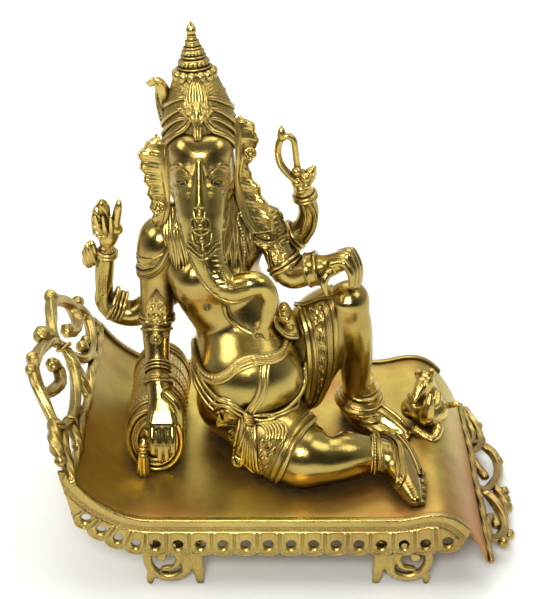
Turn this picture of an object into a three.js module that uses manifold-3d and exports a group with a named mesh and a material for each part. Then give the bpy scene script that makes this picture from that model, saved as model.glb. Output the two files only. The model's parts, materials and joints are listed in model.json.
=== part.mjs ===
// A brass Ganesha resting on a couch, cast in separate pieces and assembled.
// Millimetres, +Z up. The figure faces -Y and its right side is towards -X.
// The origin is on the floor under the middle of the couch.
import * as THREE from "three";
import { mergeVertices } from "three/addons/utils/BufferGeometryUtils.js";
import Module from "manifold-3d";

const wasm = await Module();
wasm.setup();

// ---------- driving dimensions ----------
const HALF_LENGTH = 160; // middle of the couch to the outermost scroll
const SEAT_HALF_DEPTH = 90;
const SEAT_Z = 56; // top of the flat part of the seat above the floor
const SHEET = 3; // thickness of the seat sheet
const APRON = 3.5; // thickness of the pierced aprons
const APRON_DROP = 28; // seat top to the tips of the apron's scallops
const SCALLOP = 14.2; // pitch of the scallops
const APRON_HOLE_R = 3.4;
const CREST = 6; // thickness of the openwork crests
const GAP = 0.35; // clearance kept between neighbouring castings
const SCREW_R = 2.5;
const WALL = 6; // wall of the hollow torso

const v2 = (x, y) => new THREE.Vector2(x, y);
const v3 = (x, y, z) => new THREE.Vector3(x, y, z);

// ---------- materials ----------
const polished = new THREE.MeshStandardMaterial({ color: 0xb8912e, roughness: 0.25, metalness: 1 });
const aged = new THREE.MeshStandardMaterial({ color: 0x8f6c2b, roughness: 0.42, metalness: 1 });
const cast = new THREE.MeshStandardMaterial({ color: 0xa9832f, roughness: 0.38, metalness: 1 });
const steel = new THREE.MeshStandardMaterial({ color: 0x8c8c88, roughness: 0.4, metalness: 1 });

// ---------- from three.js geometry to solids and back ----------
function solid(geometry) {
  const bare = geometry.index ? geometry.toNonIndexed() : geometry.clone();
  bare.deleteAttribute("normal");
  bare.deleteAttribute("uv");
  const merged = mergeVertices(bare, 1e-3);
  const corners = merged.index.array;
  const faces = [];
  for (let i = 0; i < corners.length; i += 3) {
    const [a, b, c] = corners.slice(i, i + 3);
    if (a !== b && b !== c && c !== a) faces.push(a, b, c); // merging can collapse a triangle
  }
  return new wasm.Manifold(
    new wasm.Mesh({
      numProp: 3,
      vertProperties: merged.attributes.position.array,
      triVerts: new Uint32Array(faces),
    }),
  );
}

const join = (...parts) => parts.reduce((a, b) => a.add(b));

// The biggest body of a cut solid: slivers that a cut leaves beside it are dropped.
function largest(manifold) {
  return manifold.decompose().reduce((a, b) => (a.volume() > b.volume() ? a : b));
}

function geometryOf(manifold) {
  const mesh = manifold.getMesh();
  const geometry = new THREE.BufferGeometry();
  geometry.setAttribute("position", new THREE.BufferAttribute(mesh.vertProperties, 3));
  geometry.setIndex(new THREE.BufferAttribute(mesh.triVerts, 1));
  geometry.computeVertexNormals();
  return geometry;
}

// ---------- shapes ----------
// A rounded limb through joints [x, y, z, radius], with hemispherical ends.
// grow fattens it all round, which gives its neighbours their clearance.
function limb(joints, { sides = 9, steps = 2, grow = 0, capRings = 1 } = {}) {
  const curve = new THREE.CatmullRomCurve3(joints.map((j) => v3(j[0], j[1], j[2])));
  const radiusCurve = new THREE.CatmullRomCurve3(joints.map((j, i) => v3(i, j[3], 0)));
  const spans = (joints.length - 1) * steps;
  const frames = curve.computeFrenetFrames(spans, false);
  const rings = [];
  const addRing = (centre, radius, i) => {
    const ring = [];
    for (let k = 0; k < sides; k++) {
      const a = (k / sides) * 2 * Math.PI;
      ring.push(
        centre
          .clone()
          .addScaledVector(frames.normals[i], radius * Math.cos(a))
          .addScaledVector(frames.binormals[i], radius * Math.sin(a)),
      );
    }
    rings.push(ring);
  };
  const radiusAt = (t) => radiusCurve.getPoint(t).y + grow;
  const cap = (i, towards) => {
    const end = curve.getPointAt(i / spans);
    const radius = radiusAt(i ? 1 : 0);
    for (let k = 1; k <= capRings; k++) {
      const a = ((towards < 0 ? k : capRings + 1 - k) / (capRings + 1)) * (Math.PI / 2);
      const centre = end.clone().addScaledVector(frames.tangents[i], towards * radius * Math.cos(a));
      addRing(centre, radius * Math.sin(a), i);
    }
    return end.clone().addScaledVector(frames.tangents[i], towards * radius);
  };
  const first = cap(0, -1);
  for (let i = 0; i <= spans; i++) {
    const u = i / spans;
    addRing(curve.getPointAt(u), radiusAt(curve.getUtoTmapping(u)), i);
  }
  const last = cap(spans, 1);
  return loft(rings, first, last);
}

// A closed skin over rings of points, with a pole at each end.
function loft(rings, first, last) {
  const n = rings[0].length;
  const points = [first, ...rings.flat(), last];
  const end = points.length - 1;
  const at = (ring, k) => 1 + ring * n + (k % n);
  const faces = [];
  for (let k = 0; k < n; k++) {
    faces.push(0, at(0, k + 1), at(0, k));
    faces.push(end, at(rings.length - 1, k), at(rings.length - 1, k + 1));
    for (let i = 0; i + 1 < rings.length; i++) {
      faces.push(at(i, k), at(i, k + 1), at(i + 1, k + 1));
      faces.push(at(i, k), at(i + 1, k + 1), at(i + 1, k));
    }
  }
  const geometry = new THREE.BufferGeometry().setFromPoints(points);
  geometry.setIndex(faces);
  const made = solid(geometry);
  return made.volume() < 0 ? solid(flipped(geometry)) : made;
}

function flipped(geometry) {
  const index = [...geometry.index.array];
  for (let i = 0; i < index.length; i += 3) [index[i + 1], index[i + 2]] = [index[i + 2], index[i + 1]];
  return geometry.clone().setIndex(index);
}

function ball([x, y, z], [rx, ry, rz], grow = 0, turn = [0, 0, 0], segments = [12, 8]) {
  const geometry = new THREE.SphereGeometry(1, ...segments);
  geometry.scale(rx + grow, ry + grow, rz + grow);
  geometry.applyMatrix4(new THREE.Matrix4().makeRotationFromEuler(new THREE.Euler(...turn)));
  return solid(geometry.translate(x, y, z));
}

// The matrix that stands +Y of a lathe, or +Z of an extrusion, along a direction.
function standing(base, direction, up) {
  const turn = new THREE.Quaternion().setFromUnitVectors(up, direction.clone().normalize());
  return new THREE.Matrix4().compose(base, turn, v3(1, 1, 1));
}

function turned(profile, base, direction, segments = 18) {
  const geometry = new THREE.LatheGeometry(
    profile.map(([r, h]) => v2(r, h)),
    segments,
  );
  return solid(geometry.applyMatrix4(standing(base, direction, v3(0, 1, 0))));
}

// A rounded ring of section radius r around an axis.
function ring(centre, direction, radius, r, grow = 0, segments = [12, 4]) {
  const geometry = new THREE.TorusGeometry(radius, r + grow, segments[1], segments[0]);
  return solid(geometry.applyMatrix4(standing(v3(...centre), v3(...direction), v3(0, 0, 1))));
}

// A flat shape extruded from z = 0 and moved into place. A mirroring matrix would turn the faces
// inside out, so they are turned back.
function plate(shape, thickness, matrix, curveSegments = 6) {
  const { shape: outline, holes } = shape.extractPoints(curveSegments);
  if (THREE.ShapeUtils.isClockWise(outline)) outline.reverse();
  const drawn = new THREE.Shape(outline);
  drawn.holes = holes.map((hole) => new THREE.Path(hole));
  const geometry = new THREE.ExtrudeGeometry(drawn, { depth: thickness, bevelEnabled: false, steps: 1 });
  geometry.deleteAttribute("normal");
  geometry.deleteAttribute("uv");
  const moved = mergeVertices(geometry.applyMatrix4(matrix), 1e-3);
  return solid(matrix.determinant() < 0 ? flipped(moved) : moved);
}

// The matrix of a frame at a point, whose local x and y run along two given directions.
function frameAt(origin, along, across) {
  const x = along.clone().normalize();
  const z = x.clone().cross(across).normalize();
  return new THREE.Matrix4().makeBasis(x, z.clone().cross(x), z).setPosition(origin);
}

// ---------- the couch ----------
// The seat's top line in X and Z: it curls up at the figure's right and rolls down at its left.
const HEAD_EDGE = v2(-130, 88);
const FOOT_EDGE = v2(133, 21);
const seatLine = new THREE.CurvePath();
seatLine.add(new THREE.CubicBezierCurve(HEAD_EDGE, v2(-117, 67), v2(-100, SEAT_Z), v2(-80, SEAT_Z)));
seatLine.add(new THREE.LineCurve(v2(-80, SEAT_Z), v2(70, SEAT_Z)));
seatLine.add(new THREE.CubicBezierCurve(v2(70, SEAT_Z), v2(82, SEAT_Z), v2(88, 61), v2(99, 60)));
seatLine.add(new THREE.CubicBezierCurve(v2(99, 60), v2(112, 58.5), v2(124, 44), FOOT_EDGE));

// Points of a line parallel to the seat line, below it by drop.
function seatParallel(drop, divisions = 28) {
  const points = [];
  for (let i = 0; i <= divisions; i++) {
    const point = seatLine.getPointAt(i / divisions);
    const tangent = seatLine.getTangentAt(i / divisions);
    points.push(v2(point.x + tangent.y * drop, point.y - tangent.x * drop));
  }
  return points;
}

// Extrusions of shapes drawn in X and Z, from y towards -Y.
const inXZ = (y) => frameAt(v3(0, y, 0), v3(1, 0, 0), v3(0, 0, 1));

function seatSheet() {
  const outline = [...seatParallel(0), ...seatParallel(SHEET).reverse()];
  const sheet = plate(new THREE.Shape(outline), 2 * SEAT_HALF_DEPTH, inXZ(SEAT_HALF_DEPTH));
  return screwPlaces.reduce((body, [x, y]) => body.subtract(screwHole(x, y)), sheet);
}

// The line of the scallops' tips: it curls up with the seat at one end and stops short at the other.
const hemLine = new THREE.CurvePath();
const hemZ = SEAT_Z - APRON_DROP;
hemLine.add(new THREE.CubicBezierCurve(v2(-134, 58), v2(-122, 42), v2(-104, hemZ), v2(-84, hemZ)));
hemLine.add(new THREE.LineCurve(v2(-84, hemZ), v2(78, hemZ)));
hemLine.add(new THREE.CubicBezierCurve(v2(78, hemZ), v2(90, hemZ), v2(100, 30), v2(113, 31)));
const APRON_END_X = 121; // where the apron's top leaves the seat line

// A point above the hem by rise, square to it.
function aboveHem(u, rise) {
  const tangent = hemLine.getTangentAt(u);
  return hemLine.getPointAt(u).add(v2(-tangent.y * rise, tangent.x * rise));
}

// An apron is a plain band above a row of scallops, with a round hole in each.
function apron(y) {
  const count = Math.round(hemLine.getLength() / SCALLOP);
  const top = seatParallel(-1.2).filter((point) => point.x < APRON_END_X);
  const bottom = [];
  const holes = [];
  for (let i = 0; i < count; i++) {
    for (const [part, rise] of [[0.06, 3.4], [0.3, 0.6], [0.7, 0.6], [0.94, 3.4]]) {
      bottom.push(aboveHem((i + part) / count, rise));
    }
    const centre = aboveHem((i + 0.5) / count, 9.5);
    const hole = new THREE.Path();
    hole.absarc(centre.x, centre.y, APRON_HOLE_R, 0, 2 * Math.PI, true);
    holes.push(hole);
  }
  const shape = new THREE.Shape([...top, ...bottom.reverse()]);
  shape.holes = holes;
  return plate(shape, APRON, inXZ(y), 3);
}

// An openwork crest: an arched band with scroll-shaped openings, in a frame whose x runs along the
// couch's edge and whose y runs outwards. height is the crest's reach, without its end knobs.
function crestShape(halfWidth, height) {
  const shape = new THREE.Shape();
  shape.moveTo(-halfWidth, 0);
  shape.bezierCurveTo(
    -halfWidth, height * 0.3, -halfWidth * 0.86, height * 0.35, -halfWidth * 0.72, height * 0.62
  );
  shape.bezierCurveTo(
    -halfWidth * 0.66, height * 0.95, -halfWidth * 0.5, height * 0.9, -halfWidth * 0.4, height * 0.8
  );
  shape.bezierCurveTo(-halfWidth * 0.3, height * 0.95, -halfWidth * 0.18, height, 0, height);
  shape.bezierCurveTo(halfWidth * 0.18, height, halfWidth * 0.3, height * 0.95, halfWidth * 0.4, height * 0.8);
  shape.bezierCurveTo(
    halfWidth * 0.5, height * 0.9, halfWidth * 0.66, height * 0.95, halfWidth * 0.72, height * 0.62
  );
  shape.bezierCurveTo(halfWidth * 0.86, height * 0.35, halfWidth, height * 0.3, halfWidth, 0);
  for (const side of [-1, 1]) {
    for (
      const [x, y, rx, ry] of [
        [0.17, 0.62, 0.1, 0.22], [0.52, 0.52, 0.13, 0.23], [0.32, 0.2, 0.1, 0.1], [0.78, 0.22, 0.07, 0.12],
      ]
    ) {
      const hole = new THREE.Path();
      hole.absellipse(side * x * halfWidth, y * height, rx * halfWidth, ry * height, 0, 2 * Math.PI, true);
      shape.holes.push(hole);
    }
  }
  return shape;
}

// A crest leans outwards from its edge of the seat until it reaches the half length.
function crest(edge, side, rise) {
  const reach = HALF_LENGTH - Math.abs(edge.x);
  const outward = v3(side * reach, 0, rise);
  const corner = v3(edge.x, 0, edge.y);
  const matrix = frameAt(corner, v3(0, -side, 0), outward);
  const normal = v3().setFromMatrixColumn(matrix, 2);
  const tip = Math.abs(normal.x) * CREST; // the thickness also reaches sideways
  const outwardEnd = outward.length() * (1 - tip / (2 * reach));
  const shape = crestShape(SEAT_HALF_DEPTH - 4, outwardEnd);
  matrix.setPosition(corner.addScaledVector(normal, -CREST / 2).addScaledVector(outward.normalize(), GAP));
  return plate(shape, CREST, matrix, 5);
}

// A leg is a scroll between an outer spur and a tapered inner blade, and stands on both.
function legShape() {
  const shape = new THREE.Shape();
  shape.moveTo(-18, 30);
  shape.quadraticCurveTo(-21, 16, -15, 7);
  shape.lineTo(-18.5, 0);
  shape.lineTo(-13.5, 0);
  shape.lineTo(-10, 4);
  shape.quadraticCurveTo(-1, 1.5, 5, 6);
  shape.quadraticCurveTo(10, 10, 11.5, 16);
  shape.lineTo(14, 0);
  shape.lineTo(18.5, 0);
  shape.lineTo(20, 30);
  for (const [x, y, rx, ry] of [[-7, 13, 4.5, 3.5], [3, 20, 4, 5]]) {
    const hole = new THREE.Path();
    hole.absellipse(x, y, rx, ry, 0, 2 * Math.PI, true);
    shape.holes.push(hole);
  }
  return shape;
}

const LEG_PLACES = { right: -69, left: 77.5 };
const LEG_THICKNESS = 5;
const LEG_Y = SEAT_HALF_DEPTH - 1; // outer face of a leg, close behind the apron
const PIN_Z = 36;
const PIN_DEPTH = 2.2; // how far a pin enters the apron, which hides its end

function leg(x, side) {
  const mirror = new THREE.Matrix4().makeScale(-Math.sign(x), 1, 1);
  const front = side < 0 ? -LEG_Y + LEG_THICKNESS : LEG_Y;
  const top = new THREE.Shape(
    [v2(-13, 28), v2(13, 28), v2(13, SEAT_Z - SHEET - GAP), v2(-13, SEAT_Z - SHEET - GAP)]
  );
  const place = new THREE.Matrix4().makeTranslation(x, front, 0).multiply(mirror);
  const matrix = place.multiply(inXZ(0));
  const body = join(plate(legShape(), LEG_THICKNESS, matrix, 5), plate(top, LEG_THICKNESS, matrix));
  return body.subtract(pinHole(x, side));
}

// A pin ties each leg to the apron in front of it, from behind.
function pinAlong(x, side, profile) {
  return turned(profile, v3(x, 0, PIN_Z), v3(0, side, 0), 10);
}

function pin(x, side) {
  const inner = LEG_Y - LEG_THICKNESS - GAP;
  const tip = SEAT_HALF_DEPTH + GAP + PIN_DEPTH;
  return pinAlong(
    x, side, [[0, inner - 1.6], [2.6, inner - 1.2], [3.6, inner], [2, inner], [2, tip], [0, tip]]
  );
}

function pinHole(x, side) {
  const tip = SEAT_HALF_DEPTH + GAP + PIN_DEPTH + 0.4;
  return pinAlong(x, side, [[0, LEG_Y - 12], [2 + GAP, LEG_Y - 12], [2 + GAP, tip], [0, tip]]);
}

// ---------- fasteners under the seat ----------
const FIGURE_SCREWS = [[-37, 6], [2, 6]];
const BOLSTER_SCREW = [[-82, 4]];
const MOUSE_SCREW = [[95, 10]];
const screwPlaces = [...FIGURE_SCREWS, ...BOLSTER_SCREW, ...MOUSE_SCREW];
const SCREW_REACH = 10; // into the casting above the seat

// The seat line stands higher under the mouse than under the figure.
const seatTopAt = (x) => (x > 70 ? 60.2 : SEAT_Z);

function screw(x, y) {
  const top = seatTopAt(x);
  const under = top - SHEET - 1.2;
  const profile = [
    [0, under - 3.4], [3.6, under - 3.4], [4.6, under - 2.4], [4.6, under], [SCREW_R, under],
    [SCREW_R, top + SCREW_REACH], [0, top + SCREW_REACH + 1],
  ];
  return turned(profile, v3(x, y, 0), v3(0, 0, 1), 10);
}

const screwHole = (x, y) =>
  turned([[0, 40], [SCREW_R + GAP, 40], [SCREW_R + GAP, 76], [0, 76]], v3(x, y, 0), v3(0, 0, 1), 10);

// ---------- the figure ----------
// Each casting is a function of grow, so that the pieces after it can be cut clear of it.
const TORSO = [
  [-18, 6, 86, 31], [-22, 4, 122, 34], [-28, 6, 146, 28.5], [-36, 8, 163, 27.5], [-43, 9, 190, 26],
  [-46, 9, 218, 16], [-47, 6, 236, 14],
];
const CAVITY = TORSO.slice(0, 5);
const FRONT_RIGHT_ARM = [
  [-76, 6, 205, 14], [-79, 3, 190, 12.8], [-80, 1, 172, 11.4], [-80.5, -3, 154, 10.4],
  [-80.5, -9, 140, 8.8], [-80, -20, 128, 7.8], [-79, -31, 119, 7],
];
const FRONT_LEFT_ARM = [
  [-10, 8, 214, 12.5], [-5, 3, 203, 9.5], [-1, -2, 193, 9.2], [5, -5, 185, 10], [14, -8, 187, 9],
  [24, -11, 192, 7.5],
];
const REAR_RIGHT_ARM = [
  [-68, 16, 166, 12], [-84, 18, 150, 9.8], [-97, 18, 144, 9], [-110, 18, 147, 8.4],
  [-116, 17.5, 156, 6.8], [-115, 16, 174, 6],
  [-112.5, 14, 190, 5], [-112, 13.5, 199, 4.3],
];
const REAR_LEFT_ARM = [
  [-10, 18, 196, 10], [4, 18, 197, 7.6], [13, 17, 206, 7.2], [17, 16, 216, 6.8], [15.5, 15, 226, 6.2],
  [13, 13, 235, 5.6],
];
const RIGHT_LEG = [
  [-16, -10, 84, 27], [-2, -36, 79, 25], [14, -50, 76, 19], [36, -50, 75, 17.5], [55, -43, 71, 12],
];
const LEFT_THIGH = [
  [14, 8, 96, 19], [19, 6, 116, 22.6], [25, 3, 138, 22.4], [33, 0, 153, 17.6], [43, -4, 163.5, 12],
];
const LEFT_SHIN = [
  [43, -4, 163, 11.6], [47.5, -3, 149, 11], [49, 0, 131, 10.8], [50, 6, 111, 10.3], [50.5, 12, 92, 9],
  [51, 16, 80, 8.5],
];
const TRUNK = [
  [-48, -32, 250, 13.4], [-46.8, -44, 228, 12], [-42.4, -52, 216, 10], [-38, -55.5, 208.5, 9.2],
  [-28.5, -58, 204.5, 8.8],
  [-19, -59, 207.5, 8], [-11.5, -58.5, 206, 6.4], [-7.5, -58, 197, 4.9], [-9, -58, 185, 4],
  [-10.5, -58.5, 176, 3],
];
const CROWN_BASE = v3(-49.5, 1, 271);
const CROWN_AXIS = v3(-4.5, 5, 75);

function fingers(knuckles, tips, radius, grow) {
  return knuckles.map((knuckle, i) => {
    const bend = knuckle.map((value, k) => (value + tips[i][k]) / 2);
    return limb(
      [[...knuckle, radius], [...bend, radius], [...tips[i], radius * 0.7]], { sides: 5, steps: 1, grow }
    );
  });
}

// The ear's outline, in a frame whose x runs outwards from the head and whose y runs up.
function earShape(grow) {
  const shape = new THREE.Shape();
  shape.moveTo(-2 - grow, 18);
  shape.bezierCurveTo(4, 34 + grow, 18, 34 + grow, 20 + grow, 20);
  shape.bezierCurveTo(19 + grow, 8, 14 + grow, 0, 14 + grow, -14);
  shape.bezierCurveTo(17 + grow, -22, 16 + grow, -32 - grow, 9, -34 - grow);
  shape.bezierCurveTo(2, -28, -1 - grow, -14, -2 - grow, -4);
  return shape;
}

// outwards is the way an ear runs from the head; the left one is swung further back.
function ear(place, outwards, grow) {
  const matrix = frameAt(v3(...place), v3(...outwards), v3(0, 0.12, 1));
  const normal = v3().setFromMatrixColumn(matrix, 2);
  const thickness = 4 + 2 * grow;
  matrix.setPosition(v3().setFromMatrixPosition(matrix).addScaledVector(normal, -thickness / 2));
  return plate(earShape(grow), thickness, matrix, 6);
}

const DOME = [
  [0, 0], [22.6, 0], [23.6, 6], [22.6, 15], [20.6, 22], [18.4, 28], [15.6, 36], [13, 41.6], [0, 41.6],
];
const SPIRE = [
  [0, 42], [12.6, 42], [12.6, 47], [9.6, 49], [9.6, 54], [7, 56], [7, 60], [4.8, 61.5], [4.8, 64.5],
  [2.3, 66], [3.1, 70], [2.2, 73], [0, 76],
];

// Every casting that stands above the seat, in the order in which they keep their full shape.
const castings = {
  torso: (g) => {
    const outer = join(
      limb(TORSO, { grow: g, sides: 12, capRings: 2 }),
      ball([-21, -14, 114], [37, 34, 38], g, [0, 0, 0], [16, 10]),
      ball([-18, 6, 82], [38, 34, 34], g),
    );
    return outer;
  },
  head: (g) => join(
    ball([-49.5, -7, 262], [21, 27, 28], g),
    limb([[-49, -22, 258, 17], [-48.5, -34, 249, 12.8]], { grow: g }),
    limb([[-58, -30, 242, 4], [-64, -41, 235, 2]], { sides: 8, steps: 1, grow: g }),
    limb([[-38, -30, 242, 4], [-31, -45, 235, 2.6]], { sides: 8, steps: 1, grow: g }),
  ),
  trunk: (g) => limb(TRUNK, { grow: g }),
  right_ear: (g) => ear([-69, -3, 246], [-0.86, 0.5, 0], g),
  left_ear: (g) => ear([-29, -3, 260], [0.6, 0.8, 0], g),
  crown_dome: (g) => turned(swollen(DOME, g), CROWN_BASE, CROWN_AXIS, 16),
  crown_spire: (g) => turned(swollen(SPIRE, g), CROWN_BASE, CROWN_AXIS, 12),
  right_leg: (g) => limb(RIGHT_LEG, { grow: g, sides: 12, steps: 2 }),
  left_leg: (g) => join(
    limb(LEFT_THIGH, { grow: g, sides: 12, capRings: 2 }),
    limb(LEFT_SHIN, { grow: g, sides: 10, capRings: 2 })
  ),
  front_right_arm: (g) => limb(FRONT_RIGHT_ARM, { grow: g }),
  front_left_arm: (g) => limb(FRONT_LEFT_ARM, { grow: g }),
  rear_right_arm: (g) => join(
    limb(REAR_RIGHT_ARM, { grow: g }),
    ball([-122.5, 12, 187], [5, 3.2, 10.4], g, [0, 0.16, 0], [8, 6]),
    limb([[-121, 13, 182, 3], [-114, 15, 180, 3.4]], { sides: 6, steps: 1, grow: g }),
  ),
  rear_left_arm: (g) => limb(REAR_LEFT_ARM, { grow: g }),
  bolster: (g) => {
    const rings = [
      [-40, 0.9], [-38, 0.98], [-20, 1.03], [0, 1.05], [20, 1.03], [38, 0.98], [40, 0.9],
    ].map(([y, share]) =>
      Array.from({ length: 14 }, (_, k) => {
        const a = (k / 14) * 2 * Math.PI;
        return v3(
          -82 + (18.5 * share + g) * Math.cos(a), y + Math.sign(y) * g,
          81 + (25.5 * share + g) * Math.sin(a)
        );
      }),
    );
    return loft(rings, v3(-82, -40 - g, 81), v3(-82, 40 + g, 81));
  },
  front_right_hand: (g) => {
    const spread = [-82.5, -78, -73.8, -69.8];
    const parts = fingers(spread.map((x) => [x, -49.5, 98]), spread.map((x) => [x + 0.5, -48, 77]), 2.6, g);
    const thumb = limb(
      [[-70, -41, 114, 3], [-65.5, -45, 106, 2.8], [-63.5, -47, 96, 2]], { sides: 6, steps: 1, grow: g }
    );
    return join(
      limb([[-79, -33, 118, 6.8], [-78, -43, 107, 8.6]], { grow: g }),
      ball([-77.5, -46, 102], [10, 5, 9], g, [0.3, 0, 0], [8, 6]), thumb, ...parts
    );
  },
  front_left_hand: (g) => {
    const knuckles = [[38, -20, 200], [40, -15, 202], [42, -10, 201.5], [44, -5, 200]];
    const tips = [[44, -22, 186], [45, -17, 183], [47, -12, 181], [48, -8, 181]];
    const thumb = limb(
      [[31, -16, 193, 3.1], [27.5, -21, 190, 2.8], [26, -23, 186, 2.4], [28, -24, 179, 1.6]],
      { sides: 6, steps: 1, grow: g }
    );
    return join(
      limb([[25, -11, 192.5, 7], [36, -12, 198, 6.4]], { grow: g }), thumb,
      ...fingers(knuckles, tips, 2.7, g)
    );
  },
  rear_right_hand: (g) => {
    const parts = fingers(
      [[-113, 8, 207], [-109, 7, 209], [-105, 8, 208]], [[-115, 6, 214], [-110, 5, 217], [-103.5, 7, 211]],
      2.4, g
    );
    return join(ball([-110.5, 11, 204], [6.5, 5.5, 7.5], g, [0, 0, 0], [8, 6]), ...parts);
  },
  rear_left_hand: (g) => {
    const parts = fingers(
      [[8, 9, 243], [12, 8, 246], [16, 9, 245], [18, 11, 243]],
      [[7, 5, 247], [11, 5, 250], [16, 7, 251], [19, 9, 249]], 2.3, g
    );
    return join(ball([12.5, 11.5, 241], [6.6, 6, 7.5], g, [0, 0, 0], [8, 6]), ...parts);
  },
  right_foot: (g) => limb(
    [[60, -43, 70, 11.5], [72, -46, 68, 10.5], [79, -60, 65, 8.5], [85, -76, 61.5, 4.5]], { grow: g }
  ),
  left_foot: (g) => limb(
    [[51, 19, 66, 9.5], [63, 10, 65, 8.5], [76, 0, 62, 5.5], [84, -6, 61, 3]], { grow: g }
  ),
  mouse: (g) => join(
    limb([[101, 10, 70, 11], [98, 16, 82, 8.5], [95, 14, 92, 6.5], [91, 6, 90, 3]], { grow: g }),
    ball([99, 2, 69], [10, 8, 8], g, [0, 0, 0], [8, 6]),
  ),
  // Ornaments and attributes, cast on their own and fitted over the limbs.
  noose: (g) => {
    const loop = new THREE.CatmullRomCurve3(
      [v3(12, 6, 246), v3(1, 7, 250), v3(-4, 8, 261), v3(0, 9, 273), v3(7, 9, 270), v3(10, 8, 260)], true
    );
    const section = new THREE.Shape();
    section.absarc(0, 0, 2.2 + g, 0, 2 * Math.PI);
    const geometry = new THREE.ExtrudeGeometry(
      section, { steps: 18, curveSegments: 3, bevelEnabled: false, extrudePath: loop }
    );
    return join(solid(geometry), limb([[0, 9, 273, 2.4], [-1, 9, 279, 1.2]], { sides: 6, steps: 1, grow: g }));
  },
  axe: (g) => join(
    limb([[-108, 8, 198, 2], [-106, 5, 208, 2.2], [-102.5, 6, 228, 2.4]], { sides: 6, steps: 2, grow: g }),
    ball([-113.5, 5, 216], [6, 2.8, 13], g, [0, 0.2, 0], [8, 6]),
  ),
  right_hair: (g) => limb(
    [[-66, 4, 236, 6], [-68, -7, 222, 6.4], [-65, -14, 208, 6], [-60, -19, 196, 4]], { grow: g }
  ),
  left_hair: (g) => limb(
    [[-28, 4, 240, 7], [-25, -9, 224, 9], [-23, -17, 208, 9.5], [-22, -21, 196, 7]], { grow: g }
  ),
  snake_belt: (g) => {
    const body = [
      [-58, -14, 132, 3], [-46, -42, 122, 3.4], [-30, -51, 130, 3.6], [-8, -49, 140, 3.8], [6, -36, 146, 4],
      [9, -24, 156, 5], [5, -24, 164, 4],
    ];
    return limb(body, { grow: g, sides: 6, steps: 2 });
  },
  waist_sash: (g) => limb(
    [[-56, 6, 96, 5], [-48, -34, 92, 5.5], [-22, -49, 86, 6], [4, -42, 92, 5.5], [20, -22, 106, 4]],
    { grow: g, sides: 6, steps: 2 }
  ),
  right_thigh_cloth: (g) => limb(
    RIGHT_LEG.slice(0, 3).map(([x, y, z, r]) => [x, y, z, r + 2.6]), { grow: g, sides: 12, steps: 2 }
  ).intersect(behind([6, -47, 76], [14, -14, -1])),
  left_thigh_cloth: (g) => limb(
    LEFT_THIGH.map(([x, y, z, r]) => [x, y, z, r + 2.6]), { grow: g, sides: 12, steps: 2 }
  ).intersect(behind([35, -10, 140], [1, 0, 0.12])),
  crown_plaque: (g) => ball([-49, -18.5, 302], [8.5, 4.5, 17], g, [-0.42, 0, 0], [8, 6]),
  right_plume: (g) => limb(
    [[-69, 7, 285, 4.5], [-72, 6, 298, 4.2], [-75.5, 4, 308, 3.2], [-79, 3, 309, 2]],
    { grow: g, sides: 6, steps: 2 }
  ),
  front_right_armlet: (g) => ring([-80.5, -3.5, 152], [0, -5, -16], 11.4, 2.4, g),
  front_right_bangles: (g) => ring([-79.3, -27, 122.5], [1, -11, -9], 8.4, 2.6, g),
  front_left_armlet: (g) => ring([0.2, -2.6, 191.5], [8, -6, -14], 10.2, 2.4, g),
  front_left_bangle: (g) => ring([20.5, -9.8, 190.2], [10, -3, 5], 9.2, 2.8, g),
  rear_right_armlet: (g) => ring([-107, 18, 147.8], [-22, 0, 7], 9.6, 2.4, g),
  rear_right_bangle: (g) => ring([-112.2, 13.7, 191.5], [1.5, -1.5, 16], 5.4, 1.8, g),
  rear_left_armlet: (g) => ring([9.4, 17.4, 202], [9, -1, 9], 8.6, 2.4, g),
  rear_left_bangle: (g) => ring([14.2, 14, 230.6], [-2.5, -2, 9], 6.4, 1.8, g),
  left_anklet: (g) => ring([50.8, 13.6, 88], [0, 4, -22], 10.2, 3.2, g),
  right_anklet: (g) => ring([58, -43.2, 70.8], [19, 1, -2], 12.8, 2.8, g),
  bolster_tassel: (g) => limb(
    [[-89, -44.5, 82, 3], [-89.5, -46, 70, 3.4], [-90, -46, 61, 4.2]], { grow: g, sides: 6, steps: 2 }
  ),
};

// Half of space behind a cut plane, as a big block, for cloth hems.
function behind(point, forward) {
  const geometry = new THREE.BoxGeometry(200, 200, 200).translate(0, 0, -100);
  return solid(geometry.applyMatrix4(standing(v3(...point), v3(...forward), v3(0, 0, 1))));
}

// A lathe profile fattened by grow, for clearance.
function swollen(profile, grow) {
  const low = profile[0][1];
  const high = profile[profile.length - 1][1];
  return profile.map(([r, h]) => [r ? r + grow : 0, h + (h === low ? -grow : h === high ? grow : 0)]);
}

// The torso is cast hollow, open at its base, with thick metal there for the screws.
function torsoCavity() {
  const base = turned([[0, 50], [11, 50], [11, 96], [0, 96]], v3(-18, 6, 0), v3(0, 0, 1), 14);
  const above = new THREE.BoxGeometry(200, 200, 200).translate(0, 0, 180);
  const hollow = join(
    limb(CAVITY, { grow: -WALL, sides: 10, steps: 2 }),
    ball([-21, -14, 114], [37, 34, 38], -WALL, [0, 0, 0], [12, 8])
  );
  return base.add(hollow.intersect(solid(above)));
}

// ---------- assembly ----------
const idol = new THREE.Group();

function add(name, manifold, material) {
  const mesh = new THREE.Mesh(geometryOf(largest(manifold)), material);
  mesh.name = name;
  idol.add(mesh);
}

function aboveSeat(manifold) {
  const outline = [...seatParallel(-GAP), v2(200, 0), v2(200, -50), v2(-200, -50), v2(-200, 88)];
  const under = plate(new THREE.Shape(outline), 240, inXZ(120));
  return manifold.subtract(under);
}

const boxesMeet = (a, b) => [0, 1, 2].every((k) => a.min[k] < b.max[k] && b.min[k] < a.max[k]);

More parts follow.
